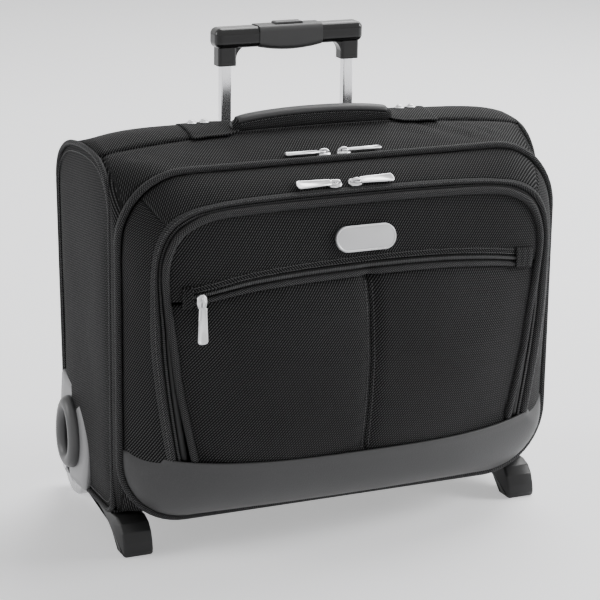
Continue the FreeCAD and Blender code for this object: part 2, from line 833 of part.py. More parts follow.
def wheel_housing(side):
    plate = housing_plate()
    x1 = half_width + 0.3 + housing_wall
    inner_x = wheel_outer_x - wheel_width - wheel_gap
    outer_x = wheel_outer_x + wheel_gap
    front_y = cheek_y()
    arch = cylinder_x(inner_x - housing_wall, x1, wheel_y, wheel_r, wheel_r + wheel_gap + housing_wall)
    keep = box(150, x1, 0, wheel_y + 4, shell_bottom_z - 3, 110)
    hollow = cylinder_x(inner_x, x1 + 40, wheel_y, wheel_r, wheel_r + wheel_gap)
    body = plate.fuse([guard_ring(), arch.common(keep)]).cut(hollow).cut(guard_eye())
    rib = box(outer_x, x1, front_y - 3, front_y, wheel_r - 4, wheel_r + cheek_rise)
    body = body.fuse([axle_arm(outer_x, outer_x + 4), rib, axle_arm(inner_x - housing_wall, inner_x)])
    body = body.cut(cylinder_x(inner_x - 10, x1 + 20, wheel_y, wheel_r, axle_r))
    return body if side > 0 else mirrored(body)


def wheel_axles():
    shapes = []
    inner_x = wheel_outer_x - wheel_width - wheel_gap - housing_wall
    outer_x = wheel_outer_x + wheel_gap + 4
    for side in (-1, 1):
        pin = cylinder_x(inner_x - 1.5, outer_x, wheel_y, wheel_r, axle_r)
        head = cylinder_x(outer_x, outer_x + 2, wheel_y, wheel_r, axle_r + 2.2)
        tail = cylinder_x(inner_x - 3, inner_x, wheel_y, wheel_r, axle_r + 1.5)
        pin = pin.fuse([head, tail]).removeSplitter()
        shapes.append(pin if side > 0 else mirrored(pin))
    return group(shapes)


def tyre(side):
    x0 = wheel_outer_x - wheel_width
    shape = cylinder_x(x0, wheel_outer_x, wheel_y, wheel_r, wheel_r)
    shape = shape.makeFillet(3.0, [e for e in shape.Edges if e.Length > 100])
    shape = shape.cut(cylinder_x(x0, wheel_outer_x, wheel_y, wheel_r, hub_r))
    return shape if side > 0 else mirrored(shape)


def hub(side):
    x0 = wheel_outer_x - wheel_width
    shape = cylinder_x(x0 + 0.5, wheel_outer_x - 0.5, wheel_y, wheel_r, hub_r)
    dish = cylinder_x(wheel_outer_x - 5, wheel_outer_x, wheel_y, wheel_r, hub_r - 3)
    boss = cylinder_x(wheel_outer_x - 5, wheel_outer_x, wheel_y, wheel_r, 7)
    shape = shape.cut(dish.cut(boss))
    shape = shape.cut(cylinder_x(x0, wheel_outer_x, wheel_y, wheel_r, axle_r + running_gap))
    return shape if side > 0 else mirrored(shape)


def foot(side):
    pad_back = foot_front_y + foot_pad_depth
    outline = [(foot_front_y + 1.5, 0), (foot_front_y - 1, 10),
               (foot_front_y + 4, 23), (foot_front_y + 24, 32.7),
               (foot_back_y, shell_bottom_z), (foot_back_y, shell_bottom_z - 6), (-7, 19), (pad_back, 0)]
    shape = prism_x(outline, foot_inner_x, foot_outer_x)
    rounded = [e for e in shape.Edges if abs(e.tangentAt(0).x) < 0.1 and e.CenterOfMass.z < 30]
    shape = shape.makeFillet(2.0, rounded)
    return shape if side > 0 else mirrored(shape)


def foot_screws():
    shapes = []
    for side in (-1, 1):
        for y in (-30.0, 18.0):
            x = side * (foot_inner_x + foot_outer_x) / 2
            shapes.append(Part.makeCylinder(1.6, 6.0, V(x, y, shell_bottom_z + shell_wall + 0.05), Z_AXIS))
    return group(shapes)


# ---- carry handle ----
def carry_handle():
    """Padded grip: a low arch with a round lower edge about the tilt axis."""
    r = handle_thick / 2
    section = Part.Face(Part.Wire([
        Part.LineSegment(V(-handle_half_length, handle_y, handle_axis_z - r),
                         V(handle_half_length, handle_y, handle_axis_z - r)).toShape(),
        Part.LineSegment(V(handle_half_length, handle_y, handle_axis_z - r),
                         V(handle_half_length, handle_y, handle_axis_z + 1)).toShape(),
        Part.Arc(V(handle_half_length, handle_y, handle_axis_z + 1), V(0, handle_y, handle_crown_z),
                 V(-handle_half_length, handle_y, handle_axis_z + 1)).toShape(),
        Part.LineSegment(V(-handle_half_length, handle_y, handle_axis_z + 1),
                         V(-handle_half_length, handle_y, handle_axis_z - r)).toShape(),
    ]))
    section.translate(V(0, -r, 0))
    body = section.extrude(V(0, 2 * r, 0))
    low = cylinder_x(-handle_half_length, handle_half_length, handle_y, handle_axis_z, r)
    high = box(-300, 300, handle_y - r, handle_y + r, handle_axis_z, handle_crown_z + 5)
    return body.common(low.fuse(high))


def top_z(x):
    """Height of the arched top panel at x."""
    half = panel_half - seam_gap
    radius = (half * half + top_crown * top_crown) / (2 * top_crown)
    return side_top_z + top_crown - (radius - math.sqrt(radius * radius - x * x))


def handle_anchors():
    shapes = []
    for side in (-1, 1):
        low = top_z(84) + 0.1
        tab = box(84, 122, handle_y - 13, rivet_y + 9, low, low + 2.2)
        tab = tab.makeFillet(6.0, [e for e in tab.Edges if abs(e.tangentAt(0).z) > 0.9])
        shapes.append(tab if side > 0 else mirrored(tab))
    return group(shapes)


def rivets():
    shapes = []
    low = top_z(84) + 2.3
    for side in (-1, 1):
        for x in rivet_x:
            rivet = Part.makeCylinder(3.6, 1.8, V(side * x, rivet_y, low), Z_AXIS)
            shapes.append(rivet.makeFillet(0.8, [rivet.Edges[0]]))
    return group(shapes)


# ---- zip sliders and pullers, built lying on +Z with the puller towards -X ----
def slider_blank():
    base = box(-slider_length / 2, slider_length / 2, -slider_width / 2, slider_width / 2, 0, slider_base)
    base = base.makeFillet(1.2, [e for e in base.Edges if abs(e.tangentAt(0).z) > 0.9])
    gap = 2 * eye_bar_r + 2 * eye_gap
    bridge = box(-bridge_length / 2, bridge_length / 2, -bridge_width / 2, bridge_width / 2, slider_base,
                 slider_base + gap + bridge_wall)
    window = box(-bridge_length / 2 + bridge_wall, bridge_length / 2 - bridge_wall, -5, 5, slider_base,
                 slider_base + gap)
    bridge = bridge.makeFillet(1.0, [e for e in bridge.Edges if abs(e.tangentAt(0).y) > 0.9
                                     and e.CenterOfMass.z > slider_base + gap])
    return base.fuse(bridge.cut(window)).removeSplitter()


def eye_height():
    return slider_base + eye_bar_r + eye_gap


def puller_blank():
    z = eye_height()
    tab_start = bridge_length / 2 + 2.5
    eye_half = bridge_width / 2 + 0.5
    thick = puller_thick / 2
    bar = Part.makeCylinder(eye_bar_r, 2 * eye_half + 2, V(0, -eye_half - 1, z), Y_AXIS)
    cheeks = [box(-tab_start - 1, eye_bar_r, y, y + 1.3, z - eye_bar_r, z + eye_bar_r)
              for y in (-eye_half - 1.3, eye_half)]
    narrow = puller_width * 0.36
    wide = puller_width / 2
    outline = Part.makePolygon([
        V(-tab_start, -narrow, z - thick), V(-puller_length, -wide, z - thick),
        V(-puller_length, wide, z - thick), V(-tab_start, narrow, z - thick),
        V(-tab_start, -narrow, z - thick),
    ])
    tab = Part.Face(outline).extrude(V(0, 0, puller_thick))
    tab = tab.makeFillet(2.2, [e for e in tab.Edges if abs(e.tangentAt(0).z) > 0.9
                               and e.CenterOfMass.x < -puller_length + 1])
    return tab.fuse([bar] + cheeks).removeSplitter()


def placed(shape, x_to, z_to, at):
    """Turn a blank so its local X and Z point along x_to and z_to, and move it."""
    y_to = z_to.cross(x_to)
    turn = FreeCAD.Matrix(x_to.x, y_to.x, z_to.x, at.x,
                          x_to.y, y_to.y, z_to.y, at.y,
                          x_to.z, y_to.z, z_to.z, at.z,
                          0, 0, 0, 1)
    result = shape.copy()
    result.transformShape(turn)
    return result


def border_up():
    """Outward direction of the sloping top wall of the front section."""
    run = flap_edge_y - lid_y + lid_cord_r + seam_gap
    fall = flap_top_z - lid_top_z + 2.0
    up = V(0, fall, -run)
    return up.normalize()


def outer_slider_at(side):
    return V(slider_centre_x[0] + side * outer_slider_x, gusset_front_y + 5.0, lid_top_z + 1.0)


def inner_slider_at(side):
    on_edge = V(slider_centre_x[1] + side * inner_slider_x, flap_edge_y + 0.5, flap_top_z)
    back = V(0, -border_up().z, border_up().y) * -4.5
    return on_edge + back + border_up() * 0.5


def slash_slider_at():
    return V(slash_slider_x, face_y(slash_z) - 4.0, slash_z - slash_drop)


def main():
    os.makedirs("parts", exist_ok=True)
    upper, lower_left, lower_right = flap_panels()
    parts = {
        "side_panel_left": side_panel(-1),
        "side_panel_right": side_panel(1),
        "top_panel": top_panel(),
        "bottom_panel": bottom_panel(),
        "rear_panel": rear_panel(),
        "front_gusset": front_gusset(),
        "side_piping_left": side_piping(-1),
        "side_piping_right": side_piping(1),
        "main_zip_tape": main_zip_tape(),
        "hinge_strip": hinge_strip(),
        "outer_tubes": outer_tubes(),
        "tube_base_bracket": tube_base_bracket(),
        "tube_collars": tube_collars(),
        "handle_back_board": handle_back_board(),
        "back_lining": back_lining(),
        "laptop_divider": laptop_divider(),
        "divider_strap": divider_strap(),
        "wheel_housing_left": wheel_housing(-1),
        "wheel_housing_right": wheel_housing(1),
        "wheel_axles": wheel_axles(),
        "foot_left": foot(-1),
        "foot_right": foot(1),
        "foot_screws": foot_screws(),
        "handle_anchors": handle_anchors(),
        "rivets": rivets(),
        "carry_handle": carry_handle(),
        "tyre_left": tyre(-1),
        "tyre_right": tyre(1),
        "hub_left": hub(-1),
        "hub_right": hub(1),
        "middle_tubes": middle_tubes(),
        "inner_tubes": inner_tubes(),
        "tube_plugs": tube_plugs(),
        "grip_body": grip_body(),
        "grip_sleeve": grip_sleeve(),
        "push_button": push_button(),
        "release_linkage": release_linkage(),
        "button_spring": button_spring(),
        "lid_panel": lid_panel(),
        "lid_zip_tapes": lid_zip_tapes(),
        "lid_piping": lid_piping(),
        "lid_border": lid_border(),
        "smooth_band": smooth_band(),
        "flap_upper_panel": upper,
        "flap_lower_left": lower_left,
        "flap_lower_right": lower_right,
        "flap_piping": flap_piping(),
        "badge": badge(),
        "slash_zip": slash_zip(),
        "slash_welt": slash_welt(),
    }
    for side, name in ((-1, "left"), (1, "right")):
        to = V(-side, 0, 0)
        places = (("outer", Z_AXIS, outer_slider_at(side)), ("inner", border_up(), inner_slider_at(side)))
        for kind, up, at in places:
            parts[kind + "_slider_" + name] = placed(slider_blank(), to, up, at)
            parts[kind + "_puller_" + name] = placed(puller_blank(), to, up, at)
    parts["slash_slider"] = placed(slider_blank(), Z_AXIS, V(0, -1, 0), slash_slider_at())
    parts["slash_puller"] = placed(puller_blank(), Z_AXIS, V(0, -1, 0), slash_slider_at())
    for name, shape in parts.items():
        solids = shape.Solids
        print(name, len(solids), round(shape.Volume), shape.isValid())
        if len(solids) == 1:
            shape = solids[0]
        shape.exportStep("parts/" + name + ".step")
    print(len(parts), "nodes")


main()
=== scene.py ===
import json
import math

import bmesh
import bpy
import numpy as np
from mathutils import Matrix, Vector, noise


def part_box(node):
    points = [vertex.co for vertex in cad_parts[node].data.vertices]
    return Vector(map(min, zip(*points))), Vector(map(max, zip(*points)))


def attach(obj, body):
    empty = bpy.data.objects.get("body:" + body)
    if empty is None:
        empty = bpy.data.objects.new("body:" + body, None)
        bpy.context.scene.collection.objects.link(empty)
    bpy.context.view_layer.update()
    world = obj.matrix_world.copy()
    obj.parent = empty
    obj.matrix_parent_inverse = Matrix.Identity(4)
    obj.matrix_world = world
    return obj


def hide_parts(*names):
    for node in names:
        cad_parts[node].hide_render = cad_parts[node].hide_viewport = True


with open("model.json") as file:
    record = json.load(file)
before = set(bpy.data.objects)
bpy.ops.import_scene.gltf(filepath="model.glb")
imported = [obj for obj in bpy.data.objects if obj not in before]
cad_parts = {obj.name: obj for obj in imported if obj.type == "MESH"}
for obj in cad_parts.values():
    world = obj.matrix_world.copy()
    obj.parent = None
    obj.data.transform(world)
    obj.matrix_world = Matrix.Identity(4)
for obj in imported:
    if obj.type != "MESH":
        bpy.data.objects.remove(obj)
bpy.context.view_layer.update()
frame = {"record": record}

MM = 0.001
LEFT, RIGHT = -1, 1
PER = 8
CASE_MIDDLE = (0, 0, 190.0)


def word(side):
    return "left" if side == LEFT else "right"


def box_mm(node):
    """Low and high corner of a designed piece, in mm."""
    return np.array(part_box(node)) / MM


# ---------------------------------------------------------------- shader maths
class Wire:
    """A shader socket that can be used in sums; each step adds a Math node."""

    def __init__(self, tree, out):
        self.tree = tree
        self.out = out

    def step(self, operation, other=None, turned=False):
        node = self.tree.nodes.new("ShaderNodeMath")
        node.operation = operation
        pair = (other, self) if turned else (self, other)
        for slot, value in zip(node.inputs, pair):
            if isinstance(value, Wire):
                self.tree.links.new(value.out, slot)
            elif value is not None:
                slot.default_value = value
        return Wire(self.tree, node.outputs[0])

    def __add__(self, other):
        return self.step("ADD", other)

    __radd__ = __add__

    def __sub__(self, other):
        return self.step("SUBTRACT", other)

    def __rsub__(self, other):
        return self.step("SUBTRACT", other, True)

    def __mul__(self, other):
        return self.step("MULTIPLY", other)

    __rmul__ = __mul__

    def __truediv__(self, other):
        return self.step("DIVIDE", other)

    def __pow__(self, other):
        return self.step("POWER", other)

    def floor(self):
        return self.step("FLOOR")

    def at_most(self, other):
        return self.step("MINIMUM", other)

    def clipped(self):
        return self.step("MAXIMUM", 0.0).at_most(1.0)

    def wave(self):
        """0 to 1 and back over each whole number."""
        return 0.5 + 0.5 * (self * (2 * math.pi)).step("COSINE")


class Finish:
    """One material of the case, built up from a Principled shader."""

    def __init__(self, name, **constants):
        self.material = bpy.data.materials.new(name)
        self.material.use_nodes = True
        self.tree = self.material.node_tree
        self.shader = self.tree.nodes["Principled BSDF"]
        for socket, value in constants.items():
            self.shader.inputs[socket.replace("_", " ")].default_value = value

    def node(self, kind, settings=None, sockets=None, out=0):
        node = self.tree.nodes.new(kind)
        for key, value in (settings or {}).items():
            setattr(node, key, value)
        for key, value in (sockets or {}).items():
            if isinstance(value, Wire):
                self.tree.links.new(value.out, node.inputs[key])
            else:
                node.inputs[key].default_value = value
        return Wire(self.tree, node.outputs[out])

    def split(self, vector):
        return [self.node("ShaderNodeSeparateXYZ", None, {0: vector}, index) for index in range(3)]

    def uv(self):
        return self.node("ShaderNodeTexCoord", out="UV")

    def place(self):
        return self.node("ShaderNodeTexCoord", out="Object")

    def noise(self, where, scale, detail=3.0, roughness=0.55):
        return self.node("ShaderNodeTexNoise", None,
                         {"Vector": where, "Scale": scale, "Detail": detail, "Roughness": roughness})

    def cells(self, where, scale):
        return self.node("ShaderNodeTexVoronoi", {"feature": "SMOOTH_F1"},
                         {"Vector": where, "Scale": scale, "Smoothness": 0.6})

    def stretched(self, vector, scale):
        return self.node("ShaderNodeVectorMath", {"operation": "MULTIPLY"}, {0: vector, 1: scale})

    def colour(self, share, dark, light):
        mix = self.tree.nodes.new("ShaderNodeMix")
        mix.data_type = "RGBA"
        self.tree.links.new(share.out, mix.inputs["Factor"])
        mix.inputs[6].default_value = tint(dark)
        mix.inputs[7].default_value = tint(light)
        self.tree.links.new(mix.outputs[2], self.shader.inputs["Base Color"])
        return self

    def rough(self, value):
        self.tree.links.new(value.out, self.shader.inputs["Roughness"])
        return self

    def raised(self, height, distance, strength=1.0):
        bump = self.node("ShaderNodeBump", None,
                         {"Height": height, "Distance": distance, "Strength": strength})
        self.tree.links.new(bump.out, self.shader.inputs["Normal"])
        return self


def tint(value):
    if isinstance(value, (int, float)):
        return (value, value, value * 1.02, 1.0)
    return (*value, 1.0)


def twill(name, dark, light, pitch=2.3, angle=50.0, depth=0.35, roughness=0.62, slack=0.25):
    """Woven nylon with diagonal twill lines, laid by the piece's UV map in metres. The raised yarns are painted lighter
    as a painted highlight, and the grooves between them darker as painted shade.
    """
    finish = Finish(name, Roughness=roughness, Specular_IOR_Level=0.06)
    u, v, _ = finish.split(finish.uv())
    turn = math.radians(angle)
    step = pitch * MM
    across = (v * math.cos(turn) - u * math.sin(turn)) / step
    along = (u * math.cos(turn) + v * math.sin(turn)) / (step * 1.35)
    yarns = (along + 0.5 * (across + 0.5).floor()).wave()
    lines = across.wave()
    weave = (lines ** 2.4 * (0.35 + 0.65 * yarns) * 1.15).at_most(1.0)
    patches = finish.noise(finish.place(), 9.0, 2.0)
    fuzz = finish.noise(finish.place(), 900.0, 2.0)
    share = (weave * (0.75 + 0.5 * patches) + 0.25 * (fuzz - 0.5)).clipped()
    # painted highlight on the raised yarns and painted shade in the grooves, varied at random by the patches and fuzz
    finish.colour(share, dark, light)
    finish.rough(roughness + slack * (0.5 - weave))
    finish.raised(weave + 0.15 * fuzz, depth * MM)
    return finish.material


def ribbed_tape(name, dark, light, rib=0.9, roughness=0.5):
    """Smooth binding tape with fine ribs across its length."""
    finish = Finish(name, Roughness=roughness, Specular_IOR_Level=0.2)
    u, v, _ = finish.split(finish.uv())
    ribs = (u / (rib * MM)).wave()
    threads = (v / (rib * 0.8 * MM)).wave()
    fuzz = finish.noise(finish.place(), 60.0, 3.0)
    share = (0.45 * ribs + 0.25 * threads + 0.5 * fuzz - 0.1).clipped()
    finish.colour(share, dark, light)
    finish.rough(roughness + 0.2 * (fuzz - 0.5))
    finish.raised(ribs + 0.5 * threads, 0.12 * MM)
    return finish.material


def leatherette(name, dark, light):
    finish = Finish(name, Roughness=0.42, Specular_IOR_Level=0.3)
    grain = finish.cells(finish.place(), 900.0)
    pores = finish.noise(finish.place(), 2200.0, 2.0)
    cloud = finish.noise(finish.place(), 14.0, 4.0)
    finish.colour((0.35 + 0.6 * (cloud - 0.5) + 0.4 * grain).clipped(), dark, light)
    finish.rough(0.36 + 0.16 * cloud + 0.1 * grain)
    finish.raised(grain + 0.4 * pores, 0.1 * MM)
    return finish.material


def moulded(name, dark, light, roughness, grain_scale=1400.0, depth=0.06, **constants):
    """Moulded plastic or rubber with a fine grain and slight wear."""
    finish = Finish(name, Roughness=roughness, **constants)
    grain = finish.noise(finish.place(), grain_scale, 2.0)
    cloud = finish.noise(finish.place(), 18.0, 4.0)
    scuffs = finish.noise(finish.stretched(finish.place(), (30.0, 260.0, 30.0)), 1.0, 4.0)
    finish.colour((0.5 + 0.9 * (cloud - 0.5) + 0.25 * (scuffs - 0.5)).clipped(), dark, light)
    finish.rough(roughness + 0.18 * (cloud - 0.5) + 0.1 * (scuffs - 0.5))
    finish.raised(grain, depth * MM)
    return finish.material


def metal(name, dark, light, roughness, brushed=(1.0, 1.0, 1.0), depth=0.01, **constants):
    finish = Finish(name, Metallic=1.0, Roughness=roughness, **constants)
    lines = finish.noise(finish.stretched(finish.place(), brushed), 1.0, 3.0, 0.7)
    cloud = finish.noise(finish.place(), 25.0, 3.0)
    finish.colour((0.5 + 0.7 * (lines - 0.5) + 0.5 * (cloud - 0.5)).clipped(), dark, light)
    finish.rough(roughness + 0.16 * (lines - 0.5) + 0.1 * (cloud - 0.5))
    finish.raised(lines, depth * MM)
    return finish.material


# The light values are the painted highlight on the raised yarns and the dark values the painted shade between them;
# cord nylon's light value is set higher still as a painted highlight on the cords.
NYLON = twill("woven_nylon", 0.0015, 0.082, pitch=2.0)
CORD_NYLON = twill("cord_nylon", 0.004, 0.14, pitch=1.5, angle=45.0, depth=0.4, roughness=0.5)
TAPE = ribbed_tape("binding_tape", 0.012, 0.04)
ZIP_TAPE = ribbed_tape("zip_tape_weave", 0.003, 0.008, rib=0.7, roughness=0.65)
COIL = moulded("zip_coil", 0.05, 0.11, 0.35, Specular_IOR_Level=0.4)
# The thread is black like the nylon. Its lighter tone is a painted highlight on the stitches; its grain and scuffs are
# its own.
THREAD = moulded("sewing_thread", 0.03, 0.075, 0.5)
BAND = leatherette("charcoal_band", 0.032, 0.06)
PU_STRIP = leatherette("handle_strip", 0.03, 0.055)
LINING = ribbed_tape("lining_weave", 0.03, 0.07, rib=1.3, roughness=0.8)
GREY_PLASTIC = moulded("housing_grey", 0.16, 0.24, 0.42)
RING_PLASTIC = moulded("guard_ring_grey", 0.04, 0.07, 0.4)
FOOT_PLASTIC = moulded("foot_grey", 0.014, 0.03, 0.34, Specular_IOR_Level=0.22)
BLACK_PLASTIC = moulded("black_plastic_fine", 0.008, 0.016, 0.4)
GLOSS_PLASTIC = moulded("grip_gloss", 0.004, 0.009, 0.18, 300.0, 0.004, Specular_IOR_Level=0.3,
                        Coat_Weight=0.15, Coat_Roughness=0.08)
RUBBER = moulded("grip_rubber", 0.012, 0.022, 0.5, 700.0, 0.05)
PALE_PLASTIC = moulded("wheel_pale", 0.68, 0.8, 0.2, 300.0, 0.01, Coat_Weight=0.3)
TYRE = moulded("wheel_tread", 0.4, 0.5, 0.3, 300.0, 0.02, Coat_Weight=0.2)
TUBE = metal("bright_tube_metal", 0.85, 0.94, 0.24, (900.0, 900.0, 12.0))
STEEL = metal("zinc_steel", 0.5, 0.62, 0.3, (300.0, 300.0, 300.0))
NICKEL = metal("satin_nickel_metal", 0.5, 0.72, 0.3, (200.0, 200.0, 200.0))
BADGE_FACE = moulded("badge_satin", 0.6, 0.68, 0.35, 900.0, 0.01, Metallic=0.3)
BADGE_RIM = moulded("badge_rim_bright", 0.62, 0.72, 0.3, 900.0, 0.01, Metallic=0.5)


# ---------------------------------------------------------------- mesh makers
def link(mesh, name, material, smooth=True):
    piece = bpy.data.objects.new(name, mesh)
    bpy.context.collection.objects.link(piece)
    if material:
        mesh.materials.append(material)
    if smooth:
        mesh.polygons.foreach_set("use_smooth", [True] * len(mesh.polygons))
    return piece


class Cloth:
    """Collects grids, tubes and loose faces, in millimetres, into one mesh with a UV map in metres."""

    def __init__(self):
        self.points = []
        self.faces = []
        self.uvs = []

    def face(self, corners, uvs):
        self.faces.append(corners)
        self.uvs.extend(uvs)

    def grid(self, grid, uv=None, closed=False, flip=False):
        """grid is rows x columns x 3; uv is rows x (columns + closed) x 2 in mm."""
        grid = np.asarray(grid, float)
        rows, columns = grid.shape[:2]
        start = len(self.points)
        self.points.extend(grid.reshape(-1, 3).tolist())
        if uv is None:
            uv = arc_uv(grid, closed)
        uv = np.asarray(uv) * MM
        reach = columns if closed else columns - 1
        for i in range(rows - 1):
            for j in range(reach):
                k = (j + 1) % columns
                corners = [start + i * columns + j, start + i * columns + k,
                           start + (i + 1) * columns + k, start + (i + 1) * columns + j]
                spots = [uv[i, j], uv[i, j + 1], uv[i + 1, j + 1], uv[i + 1, j]]
                if flip:
                    corners.reverse()
                    spots.reverse()
                self.face(corners, spots)
        return start

    def cap(self, indices, flip=False):
        corners = list(indices)
        if flip:
            corners.reverse()
        middle = np.mean([self.points[i] for i in corners], axis=0)
        centre = len(self.points)
        self.points.append(middle.tolist())
        for here, there in zip(corners, corners[1:] + corners[:1]):
            self.face([here, there, centre], [(0.0, 0.0)] * 3)

    def tube(self, path, radius, closed=False, sides=12):
        """Round cord along a path, closed into a ring or capped at both ends."""
        path = np.asarray(path, float)
        count = len(path)
        tangent = np.gradient(path, axis=0)
        if closed:
            tangent = np.roll(path, -1, 0) - np.roll(path, 1, 0)
        tangent /= np.linalg.norm(tangent, axis=1)[:, None]
        side = np.cross(tangent[0], (0, 0, 1))
        if np.linalg.norm(side) < 1e-6:
            side = np.cross(tangent[0], (1, 0, 0))
        side /= np.linalg.norm(side)
        sides_list = [side]
        for k in range(1, count):
            side = side - tangent[k] * np.dot(side, tangent[k])
            side /= np.linalg.norm(side)
            sides_list.append(side)
        side = np.array(sides_list)
        lift = np.cross(side, tangent)
        if closed:
            twist = math.atan2(np.dot(side[-1], lift[0]), np.dot(side[-1], side[0]))
            turn = np.linspace(0, twist, count)[:, None]
            cos, sin = np.cos(turn), np.sin(turn)
            side, lift = side * cos - lift * sin, side * sin + lift * cos
        angle = np.linspace(0, 2 * math.pi, sides, endpoint=False)
        grid = np.stack([path + radius * (math.cos(a) * side + math.sin(a) * lift) for a in angle])
        steps = np.linalg.norm(np.diff(path, axis=0), axis=1)
        along = np.concatenate([[0], np.cumsum(steps)])
        if closed:
            along = np.append(along, along[-1] + np.linalg.norm(path[0] - path[-1]))
        grid = np.concatenate([grid, grid[:1]])
        round_ = np.linspace(0, 2 * math.pi * radius, sides + 1)
        uv = np.stack(np.broadcast_arrays(along[None, :], round_[:, None]), -1)
        start = self.grid(grid, uv, closed)
        if not closed:
            self.cap([start + i * count for i in range(sides)])
            self.cap([start + i * count + count - 1 for i in range(sides)], True)

    def piece(self, name, material, weld=0.02, outward=True):
        mesh = bpy.data.meshes.new(name)
        mesh.from_pydata((np.array(self.points) * MM).tolist(), [], self.faces)
        layer = mesh.uv_layers.new(name="UVMap")
        layer.data.foreach_set("uv", np.array(self.uvs, float).ravel())
        obj = link(mesh, name, material)
        if weld:
            merge(obj, weld, outward)
        return obj


def merge(obj, distance, outward):
    work = bmesh.new()
    work.from_mesh(obj.data)
    bmesh.ops.remove_doubles(work, verts=work.verts, dist=distance * MM)
    if outward:
        bmesh.ops.recalc_face_normals(work, faces=work.faces)
    work.to_mesh(obj.data)
    work.free()


def arc_uv(grid, closed=False):
    along = np.linalg.norm(np.diff(grid, axis=1), axis=2).mean(axis=0)
    u = np.concatenate([[0], np.cumsum(along)])
    if closed:
        u = np.append(u, u[-1] + np.linalg.norm(grid[:, 0] - grid[:, -1], axis=1).mean())
    across = np.linalg.norm(np.diff(grid, axis=0), axis=2).mean(axis=1)
    v = np.concatenate([[0], np.cumsum(across)])
    return np.stack(np.broadcast_arrays(u[None, :], v[:, None]), -1)


def flat_uv(grid, first, second):
    return np.asarray(grid)[..., [first, second]]


def curve_through(points, per=8):
    """Smooth line through points, with the same number of steps between each pair."""
    points = np.asarray(points, float)
    padded = np.concatenate([[2 * points[0] - points[1]], points, [2 * points[-1] - points[-2]]])
    out = []
    for k in range(len(points) - 1):
        p0, p1, p2, p3 = padded[k:k + 4]
        for t in np.linspace(0, 1, per, endpoint=False):
            out.append(0.5 * (2 * p1 + (p2 - p0) * t + (2 * p0 - 5 * p1 + 4 * p2 - p3) * t * t
                              + (3 * p1 - p0 - 3 * p2 + p3) * t ** 3))
    out.append(points[-1])
    return np.array(out)


def evenly(path, step):
    path = np.asarray(path, float)
    lengths = np.concatenate([[0], np.cumsum(np.linalg.norm(np.diff(path, axis=0), axis=1))])
    count = max(2, int(round(lengths[-1] / step)) + 1)
    spots = np.linspace(0, lengths[-1], count)
    return np.stack([np.interp(spots, lengths, path[:, k]) for k in range(path.shape[1])], 1)


def at_x(line, x):
    """Line of (y, z) points put in the plane x."""
    line = np.asarray(line, float)
    return np.stack([np.full(len(line), float(x)), line[:, 0], line[:, 1]], 1)


def at_y(line, y):
    """Line of (x, z) points put in the plane y."""
    return np.stack([line[:, 0], np.full(len(line), float(y)), line[:, 1]], 1)


def both_sides(half):
    """Open line from the lower left, over the top middle, to the lower right."""
    half = np.asarray(half, float)
    left = half[::-1].copy()
    left[:, 0] *= -1
    return np.concatenate([left[:-1], half])


def crossways(half_x, y, z):
    """Line across the whole case from the x of its right half."""
    return both_sides(np.stack(np.broadcast_arrays(half_x, y, z), 1))


def distance_down(grid):
    """Mean distance of each row of a grid from its first row, as a column."""
    steps = np.linalg.norm(np.diff(grid, axis=0), axis=2).mean(1)
    return np.concatenate([[0], np.cumsum(steps)])[:, None]


def all_round(half):
    """Closed line from a half that starts at the top middle and ends at the bottom middle."""
    half = np.asarray(half, float)
    left = half[::-1].copy()
    left[:, 0] *= -1
    return np.concatenate([half, left[1:-1]])


def wobble(grid, size, height, seed=0.0):
    """Soft unevenness of padded cloth, in mm, at each point of a grid."""
    flat = np.asarray(grid).reshape(-1, 3)
    values = [noise.noise(Vector((p[0] / size + seed, p[1] / size, p[2] / size))) * height for p in flat]
    return np.array(values).reshape(np.asarray(grid).shape[:-1])


def give_thickness(obj, thickness):
    solid = obj.modifiers.new("thickness", "SOLIDIFY")
    solid.thickness = thickness * MM
    solid.offset = -1.0


def declare(obj, body, nodes=()):
    if nodes:
        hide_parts(*nodes)
    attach(obj, body)


def sheet(name, grid, material, body, nodes=(), thick=2.0, way=None, uv=None, closed=False):
    """Piece made of one grid, turned to face way or outwards all round, and given its thickness in mm."""
    cloth = Cloth()
    cloth.grid(grid, uv, closed)
    piece = cloth.piece(name, material, outward=False)
    face_out(piece, way)
    if thick:
        give_thickness(piece, thick)
    declare(piece, body, nodes)
    return piece


def cord_piece(name, line, radius, material, body, nodes=(), closed=False, sides=12):
    cloth = Cloth()
    cloth.tube(line, radius, closed, sides)
    declare(cloth.piece(name, material), body, nodes)


def moulding(name, material, place, outline, heights, insets, body, nodes=()):
    """Rounded plate as a piece of its own."""
    cloth = Cloth()
    slab(cloth, place, outline, heights, insets)
    declare(cloth.piece(name, material, weld=0.005), body, nodes)


def take_out(obj, inside, planes=()):
    """Cut a mesh along planes, then take away the faces whose middles (mm) lie inside."""
    work = bmesh.new()
    work.from_mesh(obj.data)
    for spot, way in planes:
        geometry = work.verts[:] + work.edges[:] + work.faces[:]
        bmesh.ops.bisect_plane(work, geom=geometry, plane_co=spot, plane_no=way)
    gone = [face for face in work.faces if inside(face.calc_center_median() / MM)]
    bmesh.ops.delete(work, geom=gone, context="FACES")
    work.to_mesh(obj.data)
    work.free()


# ---------------------------------------------------------------- rows of small things
ROW_SIZES = ("Pitch", "Along", "Across", "Standing")


